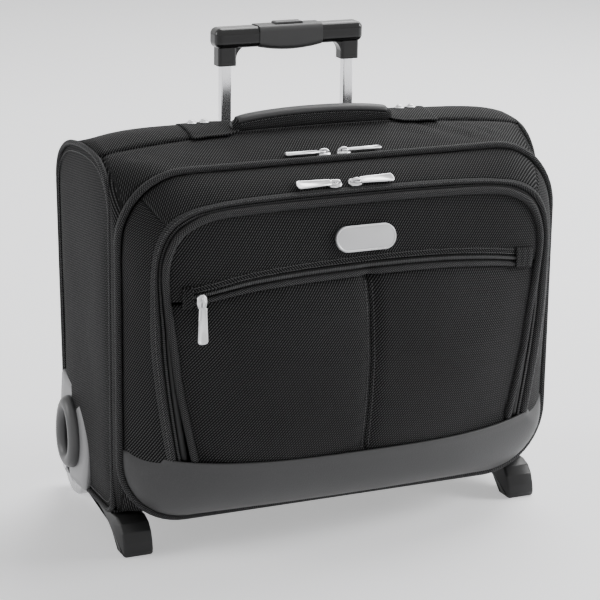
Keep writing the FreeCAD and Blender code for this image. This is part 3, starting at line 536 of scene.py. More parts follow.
def row_tree():
    """Geometry Nodes tree: small rounded bars set out along lines, facing outwards."""
    tree = bpy.data.node_groups.new("row_along_a_line", "GeometryNodeTree")
    face = tree.interface
    face.new_socket("Geometry", in_out="INPUT", socket_type="NodeSocketGeometry")
    for label in ROW_SIZES:
        face.new_socket(label, in_out="INPUT", socket_type="NodeSocketFloat")
    face.new_socket("Material", in_out="INPUT", socket_type="NodeSocketMaterial")
    face.new_socket("Geometry", in_out="OUTPUT", socket_type="NodeSocketGeometry")

    def add(kind, **settings):
        node = tree.nodes.new(kind)
        for key, value in settings.items():
            setattr(node, key, value)
        return node

    start = add("NodeGroupInput")
    line = add("GeometryNodeMeshToCurve")
    spaced = add("GeometryNodeResampleCurve", mode="LENGTH")
    bar = add("GeometryNodeMeshUVSphere")
    for socket, value in (("Segments", 8), ("Rings", 5), ("Radius", 0.5)):
        bar.inputs[socket].default_value = value
    size = add("ShaderNodeCombineXYZ")
    stretch = add("GeometryNodeTransform")
    way = add("GeometryNodeInputTangent")
    facing = add("GeometryNodeInputNamedAttribute", data_type="FLOAT_VECTOR")
    facing.inputs["Name"].default_value = "facing"
    first = add("FunctionNodeAlignRotationToVector", axis="X")
    second = add("FunctionNodeAlignRotationToVector", axis="Z", pivot_axis="X")
    put = add("GeometryNodeInstanceOnPoints")
    real = add("GeometryNodeRealizeInstances")
    smooth = add("GeometryNodeSetShadeSmooth")
    paint = add("GeometryNodeSetMaterial")
    end = add("NodeGroupOutput")
    joins = (
        (start, "Geometry", line, "Mesh"), (line, "Curve", spaced, "Curve"), (start, "Pitch", spaced, "Length"),
        (start, "Along", size, 0), (start, "Across", size, 1), (start, "Standing", size, 2),
        (bar, "Mesh", stretch, "Geometry"), (size, 0, stretch, "Scale"), (way, 0, first, "Vector"),
        (first, 0, second, "Rotation"), (facing, "Attribute", second, "Vector"),
        (spaced, "Curve", put, "Points"), (stretch, "Geometry", put, "Instance"), (second, 0, put, "Rotation"),
        (put, "Instances", real, "Geometry"), (real, "Geometry", smooth, "Geometry"),
        (smooth, "Geometry", paint, "Geometry"), (start, "Material", paint, "Material"),
        (paint, "Geometry", end, "Geometry"))
    for giver, out, taker, slot in joins:
        tree.links.new(giver.outputs[out], taker.inputs[slot])
    return tree


ROW_TREE = row_tree()


def row(name, lines, sizes, material, body):
    """Bars along lines of (points, facing); sizes are their pitch, length, width and height in mm."""
    points = []
    edges = []
    ways = []
    for path, facing in lines:
        path = np.asarray(path, float)
        start = len(points)
        points.extend((path * MM).tolist())
        ways.extend(np.broadcast_to(np.asarray(facing, float), path.shape).tolist())
        edges.extend((start + k, start + k + 1) for k in range(len(path) - 1))
    mesh = bpy.data.meshes.new(name + "_line")
    mesh.from_pydata(points, edges, [])
    attribute = mesh.attributes.new("facing", "FLOAT_VECTOR", "POINT")
    attribute.data.foreach_set("vector", np.array(ways, float).ravel())
    carrier = bpy.data.objects.new(name + "_line", mesh)
    bpy.context.collection.objects.link(carrier)
    modifier = carrier.modifiers.new("row", "NODES")
    modifier.node_group = ROW_TREE
    values = dict(zip(ROW_SIZES, (size * MM for size in sizes)), Material=material)
    for item in ROW_TREE.interface.items_tree:
        if item.in_out == "INPUT" and item.name in values:
            modifier[item.identifier] = values[item.name]
    carrier.update_tag()
    graph = bpy.context.evaluated_depsgraph_get()
    made = bpy.data.meshes.new_from_object(carrier.evaluated_get(graph))
    made.name = name
    bpy.data.objects.remove(carrier)
    bpy.data.meshes.remove(mesh)
    declare(link(made, name, None), body)


def outward_facing(path):
    """Unit directions away from the middle, square to the case's depth, for each point of a path."""
    away = (np.asarray(path, float) - CASE_MIDDLE) * (1, 0, 1)
    return away / np.maximum(np.linalg.norm(away, axis=1)[:, None], 1e-6)


# ---------------------------------------------------------------- lines that the case is sewn to
# Half lines from the top middle down the right side, matched point by point.
LID_EDGE = [(0, 348), (65, 348), (115, 348), (148, 348), (173, 344), (193.4, 330.4), (207, 310), (211, 284),
            (211, 250), (211, 205), (211, 168), (211, 150), (211, 127), (211, 104), (209.5, 80)]
POCKET_EDGE = [(0, 329), (60, 328.6), (108, 327.2), (137, 324.8), (161, 320), (178.5, 309.5), (188.5, 292.5),
               (192.5, 270), (192.6, 240), (191.6, 203), (188.4, 170), (186, 151), (181.8, 123), (177.2, 97),
               (173, 76)]
FLAP_CORD = [(0, 319.5), (58, 319.2), (106, 318.2), (132, 316.6), (152, 312.4), (169, 302.5), (178.5, 287),
             (182.3, 268), (180.2, 240), (174.8, 202), (170.6, 170), (167, 151), (160.8, 122), (154.8, 94),
             (150.5, 76)]
LID_HALF, LID_LOW, LID_HIGH, LID_CORNER = 211, 34, 348, 60.0
POCKET_Y = -98.5


def lid_ring(y, grow=0.0):
    """Closed rounded rectangle of the front section in the plane y."""
    half_w, low, high = LID_HALF + grow, LID_LOW - grow, LID_HIGH + grow
    r = LID_CORNER + grow
    quarter = np.linspace(0, math.pi / 2, 15)
    top = [(x, high) for x in np.linspace(0, half_w - r, 26)[:-1]]
    corner = [(half_w - r + r * math.sin(a), high - r + r * math.cos(a)) for a in quarter]
    side = [(half_w, z) for z in np.linspace(high - r, low + r, 34)[1:-1]]
    lower = [(half_w - r + r * math.cos(a), low + r - r * math.sin(a)) for a in quarter]
    bottom = [(x, low) for x in np.linspace(half_w - r, 0, 26)[1:]]
    return at_y(all_round(top + corner + side + lower + bottom), y)


def hung(half, y):
    """Open line in the plane y from a half line of (x, z) points, with both sides."""
    return at_y(both_sides(curve_through(half, PER)), y)


def band_top(x):
    """Upper edge of the smooth band: (y, z) at x."""
    share = np.abs(x) / 177.0
    inner = POCKET_Y - 26.5 * (1 - np.minimum(share, 1) ** 2.6)
    outer = POCKET_Y + (np.abs(x) - 177) * (26.5 / 29)
    y = np.where(np.abs(x) <= 177, inner, outer)
    z = 92 + 12 * (np.abs(x) / 206.0) ** 5
    return y, z


def between(a, b, rows, bulge=0.0, bulge_way=None, power=1.0):
    """Rows of points from line a to line b, swelling by bulge mm towards bulge_way."""
    grid = []
    for t in np.linspace(0, 1, rows):
        line = a * (1 - t) + b * t
        if bulge:
            line = line + np.asarray(bulge_way) * bulge * math.sin(math.pi * t) ** power
        grid.append(line)
    return np.array(grid)


# ---------------------------------------------------------------- shell of the case
# Front edge of the shell (x, y, z) and the matching points of the front section's edge.
SHELL_EDGE = [(0, -8.5, 366), (60, -8.5, 365.4), (112, -8.5, 363.6), (158, -8.5, 360.4), (188, -8.5, 357.4),
              (203, -9.5, 354.6), (208.8, -17, 349), (209.6, -28, 340.5), (209.8, -36.5, 329), (209.8, -40.5, 313),
              (209.8, -40.5, 285), (209.8, -40.5, 240), (209.8, -40.5, 180), (209.8, -40.5, 120),
              (209.8, -40.5, 82), (209.8, -40.5, 56), (207, -40.5, 41), (199, -40.5, 35), (150, -40.5, 33.6),
              (75, -40.5, 33.6), (0, -40.5, 33.6)]
GUSSET_EDGE = [(0, 347), (62, 347), (110, 347), (146, 347), (168, 344.6), (184.5, 337), (196, 326), (203.5, 313),
               (208, 301), (209.6, 290), (210, 275), (210, 235), (210, 180), (210, 120), (209.4, 86), (203, 65),
               (192.5, 51), (173, 39.4), (148, 35), (75, 35), (0, 35)]
BACK_LOW_Y, BACK_HIGH_Y = 87.0, 100.0
SHELL_LOW_Z, SHELL_HIGH_Z = 33.0, 355.0
SIDE_X = 209.5
SIDE_MIDDLE = np.array([24.0, 190.0])
TUBE_X = 61.6
WHEEL_Y, WHEEL_Z = 106.5, 31.0


def back_y(z):
    return BACK_LOW_Y + (BACK_HIGH_Y - BACK_LOW_Y) * (z - SHELL_LOW_Z) / (SHELL_HIGH_Z - SHELL_LOW_Z)


def turned(before, corner, after, radius):
    """Points round a corner of the line before-corner-after."""
    here = np.array(corner, float)
    u = np.array(before, float) - here
    w = np.array(after, float) - here
    u /= np.linalg.norm(u)
    w /= np.linalg.norm(w)
    half = math.acos(np.dot(u, w)) / 2
    centre = here + (u + w) / np.linalg.norm(u + w) * radius / math.sin(half)
    start = here + u * radius / math.tan(half) - centre
    end = here + w * radius / math.tan(half) - centre
    first = math.atan2(start[1], start[0])
    turn = (math.atan2(end[1], end[0]) - first + math.pi) % (2 * math.pi) - math.pi
    return [centre + radius * np.array([math.cos(first + turn * t), math.sin(first + turn * t)])
            for t in np.linspace(0, 1, 13)]


SIDE_TOP = curve_through([(-40.5, 300.0), (-40.2, 314.0), (-37.5, 326.0), (-32.0, 336.0), (-24.0, 344.5),
                          (-14.0, 350.5), (-3.0, 353.9), (10.0, 355.5), (24.0, 356.2), (39.0, 355.7),
                          (54.0, 354.2), (67.0, 352.0), (80.5, 347.0), (92.0, 338.7), (99.0, 328.5),
                          (101.6, 317.0), (101.4, 304.0)], 6)
LOW_FRONT, LOW_BACK = (-40.5, SHELL_LOW_Z), (BACK_LOW_Y, SHELL_LOW_Z)
SIDE_LOOP = turned(SIDE_TOP[0], LOW_FRONT, LOW_BACK, 14.0) + turned(LOW_FRONT, LOW_BACK, SIDE_TOP[-1], 14.0)
SIDE_LOOP = evenly(np.concatenate([SIDE_LOOP, SIDE_TOP[::-1], SIDE_LOOP[:1]]), 7)[:-1]


def top_height(x, y):
    """Height of the flat arched top at x, y."""
    middle = np.interp(y, [-8.5, 0.0, 12.0, 22.0, 35.0, 50.0, 60.0, 70.0, 80.0],
                       [366.0, 367.6, 369.2, 369.8, 367.6, 360.6, 355.0, 352.0, 347.8])
    edge = np.interp(y, SIDE_TOP[:, 0], SIDE_TOP[:, 1])
    edge = edge + np.interp(y, [-8.5, 5, 28, 60, 80], [2.3, 3.4, 3.4, 1.0, 0.0])
    flatness = np.interp(y, [-8.5, 14.0], [3.2, 8.0])
    return edge + (middle - edge) * (1 - (np.abs(x) / 208.6) ** flatness)


def side_panel(side):
    """Puffed side panel: rings drawn in towards its middle, swelling outwards."""
    rings = []
    for t in (0.0, 0.012, 0.03, 0.06, 0.11, 0.18, 0.27, 0.38, 0.5, 0.64, 0.79, 0.94):
        edge = min(1.0, t / 0.28)
        out = SIDE_X - 1.2 + 3.4 * math.sin(edge * math.pi / 2) + 1.0 * (1 - abs(2 * t - 1))
        rings.append(at_x(SIDE_LOOP * (1 - t) + SIDE_MIDDLE * t, out))
    grid = np.array(rings)
    grid[..., 0] += wobble(grid, 60.0, 1.1, 3.0) * np.clip(np.arange(len(rings)) / 5.0, 0, 1)[:, None]
    grid[..., 0] *= side
    cloth = Cloth()
    uv = flat_uv(np.concatenate([grid, grid[:, :1]], 1), 1, 2) * (-side, 1)
    start = cloth.grid(grid, uv, closed=True, flip=side == LEFT)
    width = len(SIDE_LOOP)
    ring = [start + (len(rings) - 1) * width + k for k in range(width)]
    centre = len(cloth.points)
    cloth.points.append(np.mean([cloth.points[k] for k in ring], axis=0).tolist())
    for a, b in zip(ring, ring[1:] + ring[:1]):
        order = [a, b, centre] if side == RIGHT else [b, a, centre]
        cloth.face(order, [(-side * cloth.points[i][1] * MM, cloth.points[i][2] * MM) for i in order])
    panel = cloth.piece("side_panel_" + word(side) + "_cloth", NYLON, outward=False)
    face_out(panel, (side, 0, 0))
    give_thickness(panel, 3.0)
    declare(panel, "case", ["side_panel_" + word(side)])


def face_out(obj, way=None):
    """Turn every face round where the mesh looks against way, or inwards if there is none."""
    total = 0.0
    for polygon in obj.data.polygons:
        ahead = Vector(way) if way else polygon.center - Vector(CASE_MIDDLE) * MM
        total += polygon.normal.dot(ahead) * polygon.area
    if total < 0:
        obj.data.flip_normals()


def side_piping(side):
    name = word(side)
    cord_piece("side_piping_" + name + "_cord", at_x(SIDE_LOOP, side * (SIDE_X + 0.2)), 2.5, CORD_NYLON,
               "case", ["side_piping_" + name], closed=True)
    inner = SIDE_LOOP + (SIDE_MIDDLE - SIDE_LOOP) * 0.045
    stitched = at_x(np.concatenate([inner, inner[:1]]), side * (SIDE_X + 1.35))
    row("side_stitches_" + name, [(stitched, (side, 0, 0))], (3.2, 2.5, 0.9, 0.7), THREAD, "case")


def top_panel():
    """Arched top from the front crease back and down round the rear corner."""
    half_x = np.linspace(0, 208.6, 27)
    back = SIDE_TOP[(SIDE_TOP[:, 0] > 82) & (SIDE_TOP[:, 1] > 316)]
    lines = [crossways(half_x, y, top_height(half_x, y)) for y in np.linspace(-8.5, 80, 19)]
    lines += [crossways(half_x, y - 0.4, z - 0.3) for y, z in back]
    grid = np.array(lines)
    grid[..., 2] += wobble(grid, 70.0, 1.5, 9.0) * np.sin(np.linspace(0.05, 0.95, len(lines)) * math.pi)[:, None]
    uv = np.stack(np.broadcast_arrays(grid[..., 0], distance_down(grid)), -1)
    panel = sheet("top_panel_cloth", grid, NYLON, "case", ["top_panel"], 3.0, (0, 0, 1), uv)
    collar_seats(panel)


def collar_seats(panel):
    """Cut the two seats of the tube collars out of the top panel."""
    low, high = box_mm("tube_collars")
    reach, front, back = high[0] - TUBE_X + 0.4, low[1] - 0.4, high[1] + 0.4
    planes = [((side * TUBE_X * MM + gap * MM, 0, 0), (1, 0, 0)) for side in (LEFT, RIGHT) for gap in (-reach, reach)]
    planes += [((0, y * MM, 0), (0, 1, 0)) for y in (front, back)]
    take_out(panel, lambda c: abs(abs(c.x) - TUBE_X) < reach and front < c.y < back and c.z > 340, planes)


def rear_panel():
    half_x = np.linspace(0, 207.5, 24)
    grid = []
    for z in np.linspace(SHELL_LOW_Z + 1, 318, 30):
        swell = 1.6 * math.sin(math.pi * (z - 34) / 284)
        grid.append(crossways(half_x, back_y(z) + swell * (1 - (half_x / 207.5) ** 4) - 0.6, z))
    grid = np.array(grid)
    wheel_cut(sheet("rear_panel_cloth", grid, NYLON, "case", ["rear_panel"], 3.0, (0, 1, 0),
                    flat_uv(grid, 0, 2) * (-1, 1)))


def wheel_cut(obj):
    """Take away the faces of a panel that lie in the wheels' room."""
    take_out(obj, lambda c: abs(c.x) > 171.5 and math.hypot(c.y - WHEEL_Y, c.z - WHEEL_Z) < 37.5)


def bottom_panel():
    grid = np.array([[(x, y, 34.0) for x in np.linspace(-208, 208, 40)] for y in np.linspace(-40, 87, 24)])
    wheel_cut(sheet("bottom_panel_cloth", grid, NYLON, "case", ["bottom_panel"], 2.5, (0, 0, -1),
                    flat_uv(grid, 0, 1)))


def front_gusset():
    """Cloth from the shell's front edge forward to the main zip."""
    edge = all_round(curve_through(SHELL_EDGE, 6))
    front = all_round(curve_through([(x, -57.0, z) for x, z in GUSSET_EDGE], 6))
    grid = between(edge, front, 9, 1.6, outward_facing(front))
    top = np.clip((grid[..., 2] - 345) / 12, 0, 1) * np.sin(np.linspace(0, math.pi, 9))[:, None]
    grid[..., 2] += top * (wobble(grid * (1.0, 1.0, 0.4), 26.0, 1.8, 5.0) + diagonal_creases(grid))
    around = np.concatenate([grid, grid[:, :1]], 1)
    on_side = (np.abs(around[..., 0]) > 204)[..., None]
    sheet("front_gusset_cloth", grid, NYLON, "case", ["front_gusset"], 2.0,
          uv=np.where(on_side, around[..., 1:], around[..., :2]), closed=True)
    seam = np.array([p for p in edge if p[2] > 352])
    seam = seam[np.argsort(seam[:, 0])]
    row("top_seam_stitches", [(seam + (0, 2.6, 0.9), (0, -0.3, 1))], (3.0, 2.3, 0.8, 0.6), THREAD,
        "case")


def diagonal_creases(grid):
    """Pulled creases of the front slope, near its ends."""
    total = 0.0
    for start, slant, deep in ((96.0, 0.55, 3.0), (124.0, 0.5, 2.6), (148.0, 0.42, 2.2), (66.0, 0.7, 1.8),
                               (-150.0, -0.5, 1.2)):
        off = grid[..., 0] - start + (8.5 + grid[..., 1]) * 0.8 / slant
        total = total - deep * np.exp(-(off / 3.5) ** 2)
    return total


# ---------------------------------------------------------------- front section
def main_zip():
    """Coil between two tapes in the slot behind the front section's piping."""
    for body, first, last, nodes in (("case", -60.2, -57.0, ["main_zip_tape"]), ("lid", -63.6, -61.0, [])):
        sheet("zip_tape_" + body, np.array([lid_ring(first, -1.8), lid_ring(last, -1.8)]), ZIP_TAPE, body,
              nodes, 1.2, closed=True)
    path = lid_ring(-59.6, -0.9)
    path = np.concatenate([path, path[:1]])
    row("main_zip_coil", [(path, outward_facing(path))], (1.7, 1.15, 2.6, 1.5), COIL, "case")


def lid_cords():
    cord_piece("lid_piping_cord", lid_ring(-66.5, 1.5), 3.2, CORD_NYLON, "lid", ["lid_piping"],
               True, 14)
    cord_piece("lid_binding", lid_ring(-61.2, 0.2), 2.7, TAPE, "lid", ["lid_zip_tapes"], True)


def lid_border():
    """Sloping walls in three cloth pieces, with mitre seams at the upper corners."""
    outer = hung([(x - 1.6 if x > 150 else x, z - 1.2 if z > 300 else z) for x, z in LID_EDGE], -68.5)
    inner = hung(POCKET_EDGE, POCKET_Y)
    away = outward_facing(inner)
    inner[:, 1] += np.clip(92 - inner[:, 2], 0, 20) * 0.6
    grid = between(outer, inner, 13, 3.0, away, 0.8)
    grid += (wobble(grid, 55.0, 1.0, 2.0) * np.sin(np.linspace(0, math.pi, 13))[:, None])[..., None] * away
    middle, corner = (len(LID_EDGE) - 1) * PER, 5 * PER
    dip = np.sin(np.linspace(0.1, 1.0, 13) * math.pi)[:, None]
    cloth = Cloth()
    for name, first, last in (("left", 0, middle - corner), ("top", middle - corner, middle + corner),
                              ("right", middle + corner, 2 * middle)):
        part = grid[:, first:last + 1].copy()
        for column, spot in ((0, first), (-1, last)):
            if name == "top" or (name == "left") == (column == -1):
                part[:, column] -= away[spot] * 1.1 * dip
        reach = distance_down(part)
        if name == "top":
            uv = (part[..., 0], -reach)
        else:
            uv = (reach if name == "left" else -reach, part[..., 2])
        cloth.grid(part, np.stack(np.broadcast_arrays(*uv), -1))
    walls = cloth.piece("lid_border_cloth", NYLON, weld=0, outward=False)
    face_out(walls)
    give_thickness(walls, 2.0)
    declare(walls, "lid", ["lid_border", "lid_panel"])


def lid_back():
    """Lining board that closes the front section from behind."""
    ring = lid_ring(-66.0, -5.0)
    cloth = Cloth()
    rings = [ring * (1 - t, 1, 1 - t) + np.array(CASE_MIDDLE) * t for t in (0.0, 0.3, 0.6, 0.9)]
    last = cloth.grid(np.array(rings), closed=True) + (len(rings) - 1) * len(ring)
    cloth.cap([last + k for k in range(len(ring))])
    board = cloth.piece("lid_lining_board", LINING, outward=False)
    face_out(board, (0, 1, 0))
    give_thickness(board, 2.0)
    declare(board, "lid")


def pocket_zip():
    """Binding, coil and tape from the organiser's edge in to the flap's piping."""
    edge = hung(POCKET_EDGE, POCKET_Y)
    inner = hung(FLAP_CORD, POCKET_Y)
    keep = edge[:, 2] > 98.5
    edge, inner = edge[keep], inner[keep]
    width = np.linalg.norm(inner - edge, axis=1)[:, None]
    into = (inner - edge) / width

    def line(inset, stand):
        return edge + into * inset * np.minimum(1.0, width / 15.0) - (0, stand, 0)

    def strip(name, profile, material, body):
        grid = np.array([line(*spot) for spot in profile])
        sheet(name, grid, material, body, (), 0.8, (0, -1, 0))

    strip("pocket_binding", [(-2.2, -3.2), (-1.6, -0.4), (0.0, 1.5), (2.2, 2.4), (4.4, 2.4), (6.0, 1.5),
                             (6.8, -0.4), (7.0, -3.0)], CORD_NYLON, "lid")
    row("pocket_binding_stitches", [(line(1.0, 2.6), (0, -1, 0))], (3.0, 2.2, 0.7, 0.6), THREAD, "lid")
    strip("pocket_zip_tape", [(6.6, -1.6), (7.6, -1.4), (9.0, -1.2), (11.0, -1.3), (13.5, -1.9), (16.5, -2.6)],
          ZIP_TAPE, "lid")
    row("pocket_zip_coil", [(line(9.2, 0.9), (0, -1, 0))], (1.7, 1.15, 2.9, 1.6), COIL, "lid")
    strip("flap_zip_fold", [(11.4, -1.2), (11.9, 0.9), (13.2, 1.9), (14.8, 1.9), (16.4, 1.4), (17.6, 0.0),
                            (18.4, -2.0)], TAPE, "flap")


def flap_cord():
    line = hung(FLAP_CORD, POCKET_Y - 4.2)
    cord_piece("flap_piping_cord", line[line[:, 2] > 96], 3.4, CORD_NYLON, "flap",
               ["flap_piping"], sides=14)


FLAP_LINE = curve_through(FLAP_CORD, 12)
FLAP_SIDE = FLAP_LINE[FLAP_LINE[:, 1] < 316][::-1]
FLAP_ROOF = FLAP_LINE[FLAP_LINE[:, 1] > 262]


def flap_half_width(z):
    """Half width of the flap's face at height z, to the middle of its piping."""
    return np.interp(z, FLAP_SIDE[:, 1], FLAP_SIDE[:, 0])


def belly(z):
    """y of the middle of the flap's lower, padded part at height z."""
    return -np.interp(z, [80, 97, 113, 144, 182, 225, 248, 258],
                      [124.5, 126.0, 128.5, 133.0, 135.5, 131.5, 126.0, 122.0])


def upper_face(z):
    """y of the middle of the flap's upper face at height z."""
    return np.interp(z, [256, 263, 290, 308, 320], [-119.0, -117.0, -110.0, -104.5, -101.0])


SLASH_LINE = curve_through([(-190, 245), (-166, 246.6), (-148, 250), (-111, 257), (-65, 260.6), (-17, 262), (32, 262.4),
                            (81, 261), (122, 257.4), (150, 253), (168, 250.6), (190, 248)], 8)


def slash_height(x):
    """Height of the slash zip's line at x."""
    return np.interp(x, SLASH_LINE[:, 0], SLASH_LINE[:, 1])


def face_depth(x, z, lower):
    """y of the flap's face at x, z."""
    wide = flap_half_width(z)
    share = np.clip(np.abs(x) / wide, 0, 1)
    edge = POCKET_Y - 2.5
    if lower:
        crown = (belly(z) - edge) * (1 - share ** 2.7)
        seam = 4.2 * np.exp(-(x / 7.0) ** 2) + 1.2 * np.exp(-(x / 22.0) ** 2)
        return edge + crown + seam
    return edge + (upper_face(z) - edge) * (1 - share ** 5)


def upper_grid(columns=90, rows=40):
    """Upper face: rows from the flap's piping down to the slash zip."""
    cord = both_sides(FLAP_ROOF)
    run = np.concatenate([[0], np.cumsum(np.linalg.norm(np.diff(cord, axis=0), axis=1))])
    along = np.linspace(0, run[-1], columns)
    cord = np.stack([np.interp(along, run, cord[:, 0]), np.interp(along, run, cord[:, 1])], 1)
    x = np.linspace(cord[0, 0], cord[-1, 0], columns)
    low = np.stack([x, slash_height(x) - 1.5], 1)
    grid = []
    for t in np.linspace(0, 1, rows):
        flat = cord * (1 - t) + low * t
        y = face_depth(flat[:, 0], flat[:, 1], False)
        grid.append(np.stack([flat[:, 0], y, flat[:, 1]], 1))
    return np.array(grid)


def lower_grid(columns=90, rows=60):
    """Both lower pads in one: rows from the slash zip down behind the smooth band."""
    shares = np.linspace(-1, 1, columns)
    grid = []
    for t in np.linspace(0, 1, rows):
        top = slash_height(shares * 176) - 4.5
        band_y, band_z = band_top(shares * 156.0)
        z = top + (band_z + 0.5 - top) * t
        x = shares * flap_half_width(z)
        tuck = np.clip((t - 0.9) / 0.1, 0, 1) ** 2
        y = face_depth(x, z, True) * (1 - tuck) + (band_y + 0.6) * tuck
        grid.append(np.stack([x, y, z], 1))
    return np.array(grid)


def flap_faces():
    """Upper face, and the two lower pads either side of the middle seam."""
    grid = upper_grid()
    edge_share = np.abs(np.linspace(-1, 1, grid.shape[1]))
    swell = np.sin(np.linspace(0, 1, grid.shape[0]) * math.pi)[:, None] * (1 - edge_share ** 6)[None, :]
    grid[..., 1] -= 2.2 * swell + wobble(grid, 60.0, 0.9, 7.0) * swell
    sheet("flap_upper_cloth", grid, NYLON, "flap", ["flap_upper_panel"], 2.0, (0, -1, 0),
          flat_uv(grid, 0, 2))
    grid = lower_grid()
    middle = grid.shape[1] // 2
    for side, seed in ((LEFT, 11.0), (RIGHT, 17.0)):
        part = (grid[:, :middle + 1] if side == LEFT else grid[:, middle - 1:]).copy()
        part[:, -1 if side == LEFT else 0, 0] = 0.35 * side
        quilt = np.sin(np.clip(np.abs(part[..., 0]) / 160, 0, 1) * math.pi)
        part[..., 1] -= 2.0 * quilt + wobble(part, 52.0, 1.5, seed) * quilt
        part[..., 1] -= seam_puckers(part)
        part[..., 1] += (np.clip(np.linspace(0, 1, part.shape[0]) - 0.86, 0, 1) * 14)[:, None] * 1.2
        part[..., 1] += 3.0 * np.exp(-np.linspace(0, 60, part.shape[0]) / 2.2)[:, None]
        name = "flap_lower_" + word(side)
        sheet(name + "_pad", part, NYLON, "flap", [name], 3.0, (0, -1, 0), flat_uv(part, 0, 2))


def seam_puckers(part):
    """Small folds that run out from the middle seam."""
    x = np.abs(part[..., 0])
    z = part[..., 2]
    fade = np.exp(-(x / 16.0) ** 2) * np.clip(x / 5, 0, 1)
    return 0.55 * fade * np.sin(z * 0.42 + 1.3 * np.sin(z * 0.11) + x * 0.12)


def seam_stitching():
    lines = []
    z = np.linspace(250, 97, 60)
    for side in (LEFT, RIGHT):
        x = np.full(len(z), side * 3.1)
        lines.append((np.stack([x, face_depth(x, z, True) - 0.4, z], 1), (side * -0.5, -1, 0)))
    row("middle_seam_stitches", lines, (3.2, 2.5, 0.8, 0.7), THREAD, "flap")


def slash_line(rise, stand, first=-167.5, last=168.5, count=110):
    """Line along the slash zip, rise mm above it and standing out from the face."""
    x = np.linspace(first, last, count)
    z = slash_height(x) + rise
    mix = np.clip((6.0 - rise) / 14.0, 0, 1)
    y = face_depth(x, z, False) * (1 - mix) + face_depth(x, slash_height(x) - 6.0, True) * mix - stand
    return np.stack([x, y, z], 1)


def slash_pocket():
    """Zipped slash pocket: welt above, coil on its tape, the rolled edge below and a tab at each end."""
    def strip(name, profile, material, slot, nodes=()):
        grid = np.array([slash_line(*spot) for spot in profile])
        sheet(name, grid, material, "flap", nodes, 0.8, (0, -1, 0))

    strip("slash_welt_strip", [(10.6, -0.6), (10.4, 1.4), (9.0, 2.3), (6.6, 2.4), (5.2, 1.8), (4.8, -0.4)], NYLON,
          "black_nylon", ["slash_welt"])
    strip("slash_zip_tape", [(5.2, 0.2), (2.6, 0.5), (0.0, 0.4), (-2.0, 0.2)], ZIP_TAPE, "zip_tape", ["slash_zip"])
    strip("slash_rolled_edge", [(-1.2, 0.0), (-1.5, 1.8), (-3.0, 3.0), (-4.6, 3.1), (-6.0, 2.0), (-6.6, 0.0)],
          CORD_NYLON, "zip_tape")
    row("slash_coil", [(slash_line(1.8, 2.0, -160, 152), (0, -1, 0.1))], (1.6, 1.1, 3.4, 1.6), COIL,
        "flap")
    row("slash_stitches", [(slash_line(rise, stand), (0, -1, 0)) for rise, stand in ((5.9, 2.6), (9.6, 2.5))],
        (3.0, 2.3, 0.7, 0.5), THREAD, "flap")
    for side, inner, outer in ((LEFT, 161.0, 170.0), (RIGHT, 151.0, 171.5)):
        grid = np.array([[slash_line(rise, stand + 0.5 * math.sin((x - inner) * 0.9), side * x, side * x + 0.01, 2)[0]
                          for x in np.linspace(inner, outer, 10)]
                         for rise, stand in ((11.4, 1.0), (11.0, 3.6), (8.0, 4.4), (2.0, 4.6), (-4.0, 4.6),
                                             (-7.2, 3.8), (-7.8, 1.0))])
        sheet("slash_end_tab_" + word(side), grid, NYLON, "flap", (), 1.0, (0, -1, 0),
              flat_uv(grid, 0, 2))


def smooth_band():
    """Leatherette band round the foot of the front section, rolled along its top edge."""
    half = both_sides(np.linspace(0, 206.5, 60)[:, None])[:, 0]
    top = np.stack([half, *band_top(half)], 1)
    share = np.linspace(-1, 1, len(half))
    a = np.abs(share)
    edge_x, foot_z, end_z = 210.4, 34.6, 104.0
    turn_x, turn_z = edge_x - LID_CORNER, foot_z + LID_CORNER
    straight, arc, base = 10.0, LID_CORNER * math.pi / 2, 151.0
    low = []
    for s, side in zip((1 - a) * (straight + arc + base), np.sign(share)):
        if s < straight:
            x, z = edge_x, end_z - s
        elif s < straight + arc:
            angle = (s - straight) / LID_CORNER
            x, z = turn_x + LID_CORNER * math.cos(angle), turn_z - LID_CORNER * math.sin(angle)
        else:
            x, z = turn_x - (s - straight - arc), foot_z
        low.append((x * side, -69.0, z))
    low = np.array(low)
    way = low * (0.9, 0, 1) - np.array(CASE_MIDDLE)
    way[:, 1] = -110
    way /= np.linalg.norm(way, axis=1)[:, None]
    grid = between(low, top, 22, 13.0, way * (1 - a ** 5)[:, None], 0.8)
    grid[:, :, 1] -= wobble(grid, 45.0, 0.7, 4.0) * np.sin(np.linspace(0, math.pi, 22))[:, None]
    roll = [top + spot for spot in ((0, -1.6, 1.0), (0, -1.4, 2.35), (0, 1.2, 2.2), (0, 3.0, 0.5))]
    sheet("smooth_band_shell", np.concatenate([grid[:-1], np.array(roll)]), BAND, "lid",
          ["smooth_band"], 2.0, (0, -1, -0.2))


def hinge_strip():
    low, high = box_mm("hinge_strip")
    profile = ((low[1] - 4, high[2] + 3), (low[1] - 5, low[2] + 3), (low[1] - 2, low[2] + 0.6),
               ((low[1] + high[1]) / 2, low[2]), (high[1] - 1, low[2] + 0.4), (high[1], low[2] + 4))
    grid = np.array([[(x, y, z + 0.5 * math.sin(x / 17)) for x in np.linspace(low[0], high[0], 50)]
                     for y, z in profile])
    sheet("hinge_strip_cloth", grid, TAPE, "case", ["hinge_strip"], 1.0, (0, 0, -1))


